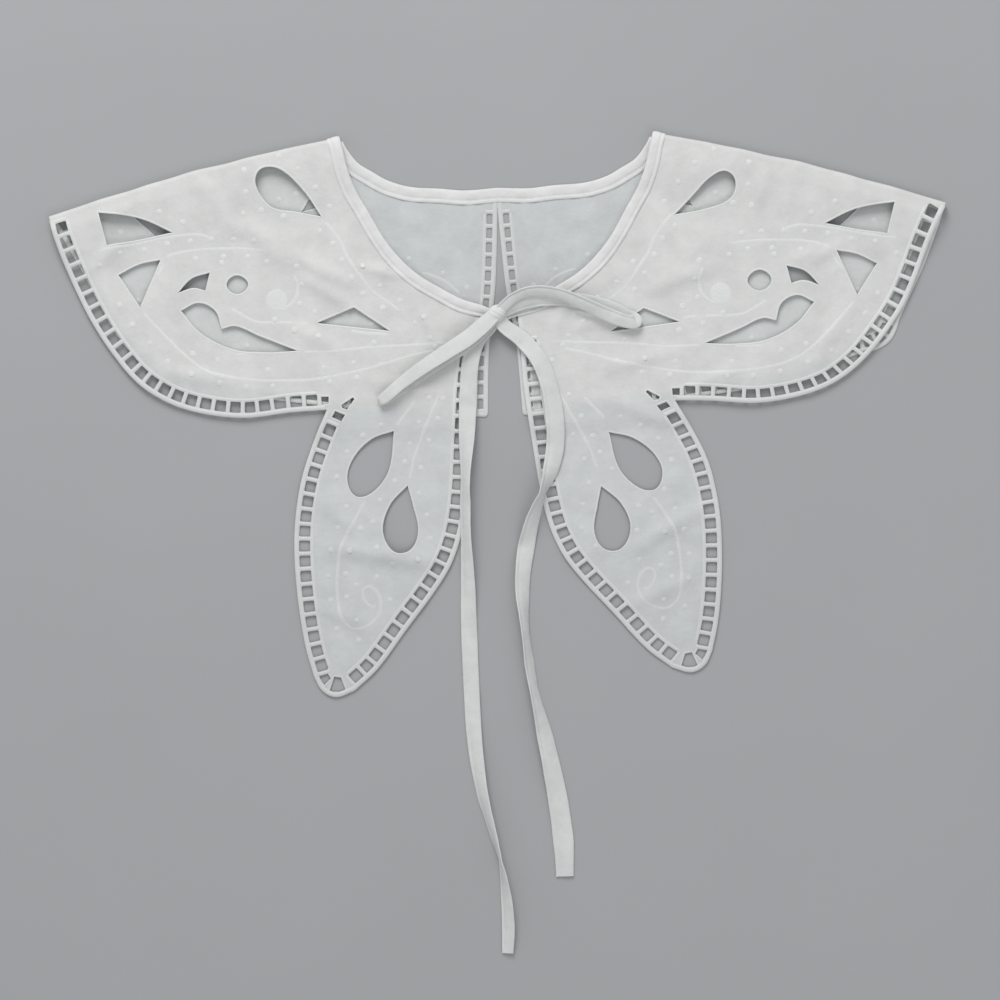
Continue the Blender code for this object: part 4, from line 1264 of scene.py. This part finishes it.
# %% Knots, modelled once and repeated
KNOTS = (
    (100, 266), (121, 254), (145, 251), (168, 245), (161, 216), (184, 225), (191, 242), (212, 240),
    (234, 240), (254, 241), (196, 259), (224, 257), (222, 263), (248, 257), (267, 262), (297, 267),
    (302, 285), (300, 304), (320, 231), (333, 244), (330, 207), (284, 217), (262, 212), (244, 215),
    (246, 175), (247, 196), (280, 160), (299, 172), (316, 189), (342, 260), (352, 278),
    (363, 266), (380, 286), (363, 294), (400, 301), (383, 308), (315, 312), (120, 305), (133, 325),
    (110, 322), (150, 343), (168, 362), (192, 374), (193, 354), (218, 360), (220, 383), (247, 387),
    (273, 386), (268, 370), (275, 320), (295, 330), (319, 336), (424, 317), (415, 323), (430, 338),
    (435, 347), (354, 363), (374, 343), (324, 368), (381, 365), (357, 378), (330, 382), (445, 362),
    (429, 398), (443, 399), (438, 419), (419, 422), (381, 425), (429, 441), (363, 436), (410, 444),
    (347, 452), (405, 462), (421, 468), (337, 477), (395, 481), (419, 494), (380, 500), (347, 507),
    (427, 515), (373, 522), (338, 528), (361, 529), (430, 539), (377, 547), (331, 550), (350, 550),
    (418, 559), (393, 564), (346, 574), (328, 576), (377, 577), (357, 585), (347, 597), (390, 600),
    (331, 600), (357, 620), (337, 629), (359, 640),
)
BACK_KNOTS = (
    (409, 259), (443, 273), (467, 288), (121, 234), (279, 201), (297, 195), (139, 301), (247, 346),
    (372, 323), (345, 314),
)
KNOT_SIZE = (1.6, 0.17)


def make_one_knot():
    """A small flattened ball, its lower half sunk in the cloth."""
    bpy.ops.object.select_all(action="DESELECT")
    bpy.ops.mesh.primitive_ico_sphere_add(subdivisions=2, radius=1.0)
    knot = bpy.context.object
    knot.name = "one_knot"
    bpy.ops.object.mode_set(mode="EDIT")
    bpy.ops.mesh.select_all(action="SELECT")
    bpy.ops.transform.resize(value=(KNOT_SIZE[0], KNOT_SIZE[0], KNOT_SIZE[1]))
    bpy.ops.object.mode_set(mode="OBJECT")
    points = np.array([vertex.co[:] for vertex in knot.data.vertices])
    faces = [tuple(face.vertices) for face in knot.data.polygons]
    bpy.data.objects.remove(knot)
    return points, faces


knot_points, knot_faces = make_one_knot()
print("triangles in one knot", len(knot_faces))

# %% A round filled with satin stitch on each upper wing
DISC_PLACE = (277, 300)
DISC_RADIUS = 6.7
DISC_RISE = 0.32
DISC_RINGS = 8
DISC_SIDES = 48


def make_disc(side):
    """A low dome of satin stitch, its rim sunk in the cloth."""
    (middle,) = seen([DISC_PLACE])
    turns = np.linspace(0.0, 2.0 * math.pi, DISC_SIDES, endpoint=False)
    rim = np.column_stack([np.cos(turns), np.sin(turns)])
    shares = np.linspace(0.0, 1.0, DISC_RINGS + 1)[1:]
    flat = np.concatenate([[middle], *[middle + rim * share * DISC_RADIUS for share in shares]])
    rise = np.concatenate([[1.0], *[np.full(DISC_SIDES, math.sqrt(1.0 - share ** 2)) for share in shares]])
    here, up = surface("front", side, flat)
    points = here + up * (CLOTH / 2 + rise * DISC_RISE - 0.15)[:, None]
    faces = []
    for i in range(DISC_SIDES):
        j = (i + 1) % DISC_SIDES
        faces.append((0, 1 + i, 1 + j))
        for ring in range(DISC_RINGS - 1):
            near, far = 1 + ring * DISC_SIDES, 1 + (ring + 1) * DISC_SIDES
            faces.append((near + i, far + i, far + j, near + j))
    faces.append(tuple(range(len(flat) - DISC_SIDES, len(flat)))[::-1])
    if side == "right":
        faces = [face[::-1] for face in faces]
    piece = make_piece("disc_" + side, points, faces, flat, 1.0, thread)
    soft_edges(piece, 60.0)
    return piece


discs = {side: make_disc(side) for side in ("left", "right")}
print("triangles in a disc", triangles_in(discs["left"]))

# %% Knots on the cloth


def scatter_knots(name, side):
    points, faces, cut, layer_lights = [], [], [], []
    for layer, table_rows in (("front", KNOTS), ("back", BACK_KNOTS)):
        flat = seen(table_rows)
        flat = flat[off_holes(flat, cuts[layer, side]["holes"], KNOT_SIZE[0] + 0.3)]
        here, up = surface(layer, side, flat)
        layer_light = layer_light_front(flat, side) if layer == "front" else layer_light_back(flat)
        for k, (spot, way) in enumerate(zip(here, up)):
            turn = Vector((0.0, 0.0, 1.0)).rotation_difference(Vector(way)).to_matrix()
            size = 1.0 + 0.35 * noise.noise(Vector((k * 1.7, 4.0, 0.0)))
            first = len(points) * len(knot_points)
            points.append(knot_points @ np.array(turn).T * size + spot + way * CLOTH / 2)
            faces += [tuple(first + i for i in face) for face in knot_faces]
            cut.append(knot_points[:, :2] + flat[k])
            layer_lights.append(np.full(len(knot_points), layer_light[k]))
    piece = make_piece(name, np.concatenate(points), faces, np.concatenate(cut), np.concatenate(layer_lights), thread)
    soft_edges(piece, 80.0)
    return piece


knots = {side: scatter_knots("knots_" + side, side) for side in ("left", "right")}
for side, piece in knots.items():
    print(piece.name, triangles_in(piece), "triangles")

# %% [markdown]
# ## The neck binding
# A bias strip is folded over the cloth's neck edge and stitched down. Its section is a round
# outer edge, a groove where the stitching pulls it in, and a folded inner edge that lies flat.
# The section is carried along the neck edge in short steps, each a little different, because a
# stitched bias strip always puckers.

# %% Section of the binding
# Rows of share of the width, height above the cloth's middle.
FRONT_SECTION = (
    (0.10, -0.42), (0.03, -0.22), (0.0, 0.25), (0.03, 0.75), (0.10, 1.02), (0.24, 1.18), (0.40, 1.18),
    (0.54, 1.08), (0.65, 0.88), (0.72, 0.58), (0.78, 0.84), (0.86, 0.92), (0.94, 0.80), (0.99, 0.62),
    (1.0, 0.46), (0.98, 0.30), (0.60, 0.28), (0.18, 0.28), (0.14, -0.30),
)
BACK_SECTION = (
    (0.09, -0.22), (0.03, -0.12), (0.0, 0.25), (0.03, 0.70), (0.10, 0.98), (0.24, 1.14), (0.40, 1.14),
    (0.54, 1.04), (0.66, 0.86), (0.72, 0.62), (0.78, 0.82), (0.86, 0.88), (0.94, 0.78), (0.99, 0.62),
    (1.0, 0.46), (0.98, 0.30), (0.60, 0.28), (0.18, 0.28), (0.14, -0.20),
)
BINDING_STEP = 1.6
PUCKER = 0.34
PINCH = 0.78
PINCH_LENGTH = 10.0
KNOT_END = (-1.5, 130.4)


def binding_strip(layer, side, run, width, section, seed):
    """Points, rows, faces and flat cut of one stretch of binding."""
    total = lengths_along(run)[-1]
    count = round(total / BINDING_STEP)
    distances = np.linspace(0.0, total, count + 1)
    points, ahead = walk(run, distances)
    into = left_of(ahead)
    rings = []
    pinched = PINCH + (1.0 - PINCH) * smoothstep(distances / PINCH_LENGTH) if layer == "front" else 1.0
    for share, above in section:
        wobble = np.array([noise.noise(Vector((d / 4.5, share * 2.0, seed))) for d in distances])
        drift = np.array([noise.noise(Vector((d / 17.0, 9.0, seed))) for d in distances])
        flat = points + into * (share * (width + 0.6 * drift) * pinched)[:, None]
        here, up = surface(layer, side, flat)
        lift = above + (PUCKER * wobble if above > 0.5 else 0.0)
        rings.append(here + up * np.asarray(lift).reshape(-1, 1))
    cut = np.concatenate([
        np.column_stack([distances, np.full(len(distances), share * width)]) for share, _ in section
    ]).reshape(len(section), -1, 2).transpose(1, 0, 2).reshape(-1, 2)
    return np.stack(rings, axis=1).reshape(-1, 3), len(distances), cut


def join_strips(name, strips, sides, material, layer_light=1.0):
    points, cut, faces, total = [], [], [], 0
    for strip_points, rings, strip_cut, flipped in strips:
        made = ring_faces(total, rings, False, sides)
        faces += [face[::-1] for face in made] if flipped else made
        points.append(strip_points)
        cut.append(strip_cut)
        total += len(strip_points)
    piece = make_piece(name, np.concatenate(points), faces, np.concatenate(cut), layer_light, material)
    only(piece)
    bpy.ops.object.mode_set(mode="EDIT")
    bpy.ops.mesh.select_all(action="SELECT")
    bpy.ops.mesh.normals_make_consistent(inside=False)
    bpy.ops.object.mode_set(mode="OBJECT")
    soft_edges(piece, 70.0)
    return piece


def front_binding_run():
    """The front neck edge from inside the knot, carried on round the shoulder fold."""
    run = smooth((KNOT_END, *NECK_FRONT))
    beyond = run[-1] + np.outer(np.linspace(1.0, 12.0, 12), OUTWARD)
    return np.concatenate([run, beyond])


strips = []
for side in ("left", "right"):
    strips.append((*binding_strip("front", side, front_binding_run(), BINDING_FRONT, FRONT_SECTION, 2.0), False))
    strips.append((*binding_strip("back", side, smooth(NECK_BACK), BINDING_BACK, BACK_SECTION, 5.0), False))
binding = join_strips("neck_binding", strips, len(FRONT_SECTION), bias_cotton)
print(binding.name, triangles_in(binding), "triangles")

# %% [markdown]
# ## Ties and bow
# The binding's ends are the same strip, folded in four and stitched along one side, so each is
# a flat soft band. It lies on the cloth, turns over on itself and stands on its edge where it
# twists. The tables give its route, as rows of x, y, the level that its lower edge rests on,
# its width and its roll.

# %% Routes of the ties
TABLE_LEVEL = 0.1
ON_WING = WALL + GAP
ON_FRONT = FRONT_Z + WALL / 2 + GAP
ON_BINDING = ON_FRONT + WALL + GAP
ON_TIE = ON_FRONT + WALL + GAP
TIE_END_LEFT = (
    (-1.2, 127.6, ON_FRONT + 0.8, 7.4, 12.0), (-3.6, 122.4, ON_FRONT, 8.4, 12.0), (-11.4, 113.6, ON_FRONT, 9.4, 0.0),
    (-15.0, 101.0, ON_FRONT, 9.8, 0.0), (-16.1, 82.5, ON_FRONT, 9.8, 0.0),
    (-16.7, 67.0, ON_FRONT, 9.6, 10.0), (-17.3, 50.0, ON_WING + 0.5, 9.0, 35.0),
    (-17.8, 31.0, ON_WING, 8.5, 55.0), (-17.6, 12.0, ON_WING, 8.5, 50.0),
    (-17.0, -4.0, ON_WING, 8.5, 40.0), (-16.3, -22.0, TABLE_LEVEL, 8.5, 20.0),
    (-15.8, -42.5, TABLE_LEVEL, 9.0, 0.0), (-14.5, -76.0, TABLE_LEVEL, 9.0, 0.0),
    (-12.5, -110.0, TABLE_LEVEL, 8.8, 15.0), (-8.5, -138.0, TABLE_LEVEL, 8.6, 40.0),
    (-3.0, -159.0, TABLE_LEVEL, 8.4, 62.0), (2.0, -177.0, TABLE_LEVEL, 8.4, 75.0),
    (5.0, -196.0, TABLE_LEVEL, 8.4, 50.0), (6.3, -213.5, TABLE_LEVEL, 8.0, 25.0),
    (6.0, -229.0, TABLE_LEVEL, 6.5, 10.0),
)
TIE_END_RIGHT = (
    (1.0, 127.6, ON_FRONT + 0.8, 7.4, -15.0), (3.8, 122.2, ON_FRONT, 8.6, -15.0), (14.0, 114.5, ON_FRONT, 9.5, -10.0),
    (23.5, 103.0, ON_FRONT, 10.0, -20.0), (29.2, 88.5, ON_FRONT, 10.5, -20.0),
    (32.3, 71.0, ON_FRONT + 0.2, 10.5, -10.0), (32.5, 55.0, ON_WING + 1.0, 10.5, -10.0),
    (29.8, 41.0, ON_WING + 0.3, 10.0, -35.0), (25.0, 28.0, ON_WING, 9.5, -70.0),
    (20.0, 14.0, ON_WING, 9.5, -35.0), (16.3, -2.0, TABLE_LEVEL, 9.8, -10.0),
    (14.3, -20.0, TABLE_LEVEL, 9.6, -30.0), (14.8, -38.0, TABLE_LEVEL, 9.6, -55.0),
    (17.0, -59.0, TABLE_LEVEL, 9.6, -62.0), (20.5, -81.0, TABLE_LEVEL, 9.6, -60.0),
    (25.5, -102.0, TABLE_LEVEL, 10.0, -40.0), (30.0, -122.0, TABLE_LEVEL, 10.6, -20.0),
    (34.5, -146.0, TABLE_LEVEL, 11.4, 0.0), (37.3, -168.0, TABLE_LEVEL, 11.4, 0.0),
    (38.0, -186.0, TABLE_LEVEL, 10.0, 0.0),
)
LOOP_LEFT = (
    (-1.6, 127.4, ON_TIE + 0.3, 7.4, 12.0), (-5.6, 122.8, ON_TIE, 8.6, 12.0),
    (-15.5, 113.2, ON_TIE, 8.8, 0.0),
    (-31.0, 103.4, ON_FRONT + 0.6, 9.2, 0.0), (-45.0, 94.2, ON_FRONT, 9.0, 0.0),
    (-56.5, 86.0, ON_FRONT, 8.0, 0.0), (-62.6, 81.2, ON_FRONT + 0.3, 6.8, 0.0),
    (-65.8, 79.6, ON_FRONT + 1.9, 4.8, 0.0),
    (-62.6, 81.8, ON_FRONT + 3.4, 6.4, 0.0), (-55.5, 88.0, ON_FRONT + 3.8, 6.8, 6.0),
    (-43.5, 97.2, ON_FRONT + 4.2, 7.8, 12.0), (-29.5, 106.4, ON_FRONT + 4.4, 8.8, 14.0),
    (-15.5, 115.6, ON_FRONT + 4.4, 9.2, 10.0), (-6.0, 123.8, ON_FRONT + 4.0, 9.0, 8.0),
    (-1.4, 128.2, ON_FRONT + 3.0, 7.6, 8.0),
)
LOOP_RIGHT = (
    (1.2, 128.6, ON_BINDING, 5.6, 10.0), (7.6, 131.6, ON_BINDING, 6.2, 14.0),
    (16.0, 134.4, ON_BINDING, 6.4, 16.0), (26.0, 136.2, ON_BINDING, 6.6, 14.0),
    (38.0, 136.6, ON_FRONT + 0.8, 7.4, 10.0), (50.0, 135.0, ON_FRONT, 9.4, 6.0),
    (61.0, 131.4, ON_FRONT, 11.0, 4.0), (71.5, 127.0, ON_FRONT + 0.3, 10.0, 0.0),
    (77.6, 124.6, ON_FRONT + 2.0, 7.4, 0.0),
    (71.5, 124.6, ON_FRONT + 3.6, 7.6, -8.0), (61.0, 128.4, ON_FRONT + 4.0, 8.0, -14.0),
    (51.0, 132.8, ON_FRONT + 4.4, 7.8, -20.0), (41.0, 137.4, ON_FRONT + 4.6, 7.2, -26.0),
    (29.5, 140.8, ON_FRONT + 4.8, 6.6, -30.0), (18.0, 141.0, ON_FRONT + 4.4, 6.4, -28.0),
    (9.0, 137.2, ON_FRONT + 4.0, 6.4, -20.0), (3.4, 132.4, ON_FRONT + 3.4, 6.2, -15.0),
    (0.8, 129.6, ON_FRONT + 2.6, 5.6, -15.0),
)
print("rows", len(TIE_END_LEFT), len(TIE_END_RIGHT), len(LOOP_LEFT), len(LOOP_RIGHT))

# %% A folded band along a route
# Rows of share of the width from the middle, height from the band's middle.
TIE_SECTION = (
    (-0.5, 0.0), (-0.488, 0.24), (-0.45, 0.40), (-0.38, 0.44), (-0.30, 0.10), (-0.22, 0.40),
    (-0.08, 0.56), (0.12, 0.60), (0.30, 0.54), (0.43, 0.42), (0.488, 0.24),
    (0.5, 0.0), (0.488, -0.22), (0.44, -0.34), (0.20, -0.38), (0.0, -0.38), (-0.20, -0.38),
    (-0.44, -0.34), (-0.488, -0.22),
)
TIE_STEPS = 9
TIE_STEEP = 0.5
TIE_CRUMPLE = 0.16
TIE_SWAY = 9.0
# The ties take part of the painted shade of single cloth, so they are greyer than the binding.
TIE_LAYER_LIGHT = 0.42


def make_tie(name, rows, seed):
    route = smooth([row[:3] for row in rows], TIE_STEPS)
    looks = [
        [a + (b - a) * k / TIE_STEPS for a, b in zip(near[3:], far[3:])]
        for near, far in zip(rows, rows[1:] + rows[-1:]) for k in range(TIE_STEPS)
    ]
    gone = lengths_along(route)
    points, cut, side_way = [], [], None
    for i, (spot, (width, roll)) in enumerate(zip(route, looks)):
        heading = route[min(i + 1, len(route) - 1)] - route[max(i - 1, 0)]
        heading = heading / np.linalg.norm(heading)
        flat = np.array((-heading[1], heading[0], 0.0))
        if side_way is None or np.linalg.norm(flat) > TIE_STEEP:
            flat = flat / np.linalg.norm(flat)
            side_way = -flat if side_way is not None and flat @ side_way < 0.0 else flat
        roll += TIE_SWAY * noise.noise(Vector((gone[i] / 20.0, 5.0, seed)))
        rise = math.sin(math.radians(roll))
        across = side_way * math.cos(math.radians(roll)) + np.array((0.0, 0.0, rise))
        above = np.cross(heading, across)
        above = above / np.linalg.norm(above)
        middle = spot + np.array((0.0, 0.0, abs(rise) * width / 2 + WALL / 2))
        uneven = 1.0 + 0.04 * noise.noise(Vector((gone[i] / 15.0, 1.0, seed)))
        for share, high in TIE_SECTION:
            crumple = TIE_CRUMPLE * noise.noise(Vector((gone[i] / 5.0, share * 2.5, seed)))
            points.append(middle + across * share * width * uneven + above * (high + crumple))
            cut.append((gone[i], share * width * (1.0 if high >= 0.0 else -1.0)))
    return join_strips(name, [(np.array(points), len(route), np.array(cut), False)], len(TIE_SECTION), bias_cotton,
                       TIE_LAYER_LIGHT)


ties = {
    "tie_end_left": make_tie("tie_left", TIE_END_LEFT, 1.0),
    "tie_end_right": make_tie("tie_right", TIE_END_RIGHT, 2.0),
    "bow_loop_left": make_tie("loop_left", LOOP_LEFT, 3.0),
    "bow_loop_right": make_tie("loop_right", LOOP_RIGHT, 4.0),
}
for piece in ties.values():
    print(piece.name, triangles_in(piece), "triangles")

# %% [markdown]
# ## The knot of the bow
# The strip goes once round the middle of the bow and is pulled tight. A ball is the start: it is
# stretched to the wrap's size, drawn in at both ends, and creased along the way the strip goes.

# %% The knot
KNOT_RADII = (6.2, 5.8, 3.6)
KNOT_CENTRE = (-0.3, 128.8, WALL + GAP + KNOT_RADII[2])
WRAP_RADII = (6.0, 5.2, 3.9)
WRAP_WAY = (0.83, -0.55)
# Rows of place across the wrap, half width, depth.
WRAP_PLEATS = ((-2.6, 0.9, 0.3), (-0.4, 1.1, 0.45), (1.9, 0.8, 0.3))
WRAP_PINCH = 0.14


def make_knot():
    bpy.ops.object.select_all(action="DESELECT")
    bpy.ops.mesh.primitive_uv_sphere_add(segments=80, ring_count=48, radius=1.0)
    knot = bpy.context.object
    knot.name = "knot"
    bpy.ops.object.mode_set(mode="EDIT")
    bpy.ops.mesh.select_all(action="SELECT")
    bpy.ops.transform.resize(value=WRAP_RADII)
    bpy.ops.object.mode_set(mode="OBJECT")
    cut = []
    for vertex in knot.data.vertices:
        x, y, z = vertex.co
        along = x * WRAP_WAY[0] + y * WRAP_WAY[1]
        across = -x * WRAP_WAY[1] + y * WRAP_WAY[0]
        size = 1.0 - WRAP_PINCH * (along / WRAP_RADII[0]) ** 2
        for place, half_width, depth in WRAP_PLEATS:
            aside = (across - place - 0.08 * along) / half_width
            size -= depth / WRAP_RADII[2] * math.exp(-aside * aside) * (0.6 + 0.4 * abs(z) / WRAP_RADII[2])
        cut.append((along, across + z))
        vertex.co = (np.array((x, y, z)) * size + np.array(KNOT_CENTRE) - CENTRE) * GROWN
    layer = knot.data.uv_layers.active
    layer.name = "cut"
    for corner, loop in zip(layer.data, knot.data.loops):
        corner.uv = np.array(cut[loop.vertex_index]) * GROWN
    layer_lights = knot.data.attributes.new("layer_light", "FLOAT", "POINT")
    layer_lights.data.foreach_set("value", np.ones(len(knot.data.vertices), np.float32))
    knot.data.materials.append(bias_cotton)
    soft_edges(knot, 60.0)
    return knot


bow_knot = make_knot()
print(bow_knot.name, triangles_in(bow_knot), "triangles")

# %% [markdown]
# ## What each piece is
# Each piece rides on the collar's one body, and the solids that it stands for are hidden. For each
# half's cloth, the area of its flat cut is worked out.

# %% Bodies and solids
REPLACED = {
    "cloth_left": ("front_left", "back_left"), "cloth_right": ("front_right", "back_right"),
    "neck_binding": ("binding_back", "binding_front_left", "binding_front_right"),
    "tie_left": ("tie_end_left",), "tie_right": ("tie_end_right",),
    "loop_left": ("bow_loop_left",), "loop_right": ("bow_loop_right",), "knot": ("bow_knot",),
}
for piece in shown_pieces():
    if piece.name in frame["nodes"]:
        continue
    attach(piece, "root")
for name, nodes in REPLACED.items():
    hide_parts(*nodes)

# %% Sheets and their cuts


def flat_area(points, holes):
    """Square metres inside an outline, without its holes."""

    def area(ring):
        return abs(np.sum(ring[:, 0] * np.roll(ring[:, 1], -1) - np.roll(ring[:, 0], -1) * ring[:, 1])) / 2

    return (area(points) - sum(area(hole) for hole in holes)) * GROWN ** 2


for side, cloth in cloths.items():
    front, back = cuts["front", side], cuts["back", side]
    area = flat_area(front["outline"], front["holes"]) + flat_area(back["outline"], back["holes"])
    print(cloth.name, "cut area", round(area, 4), "m2")
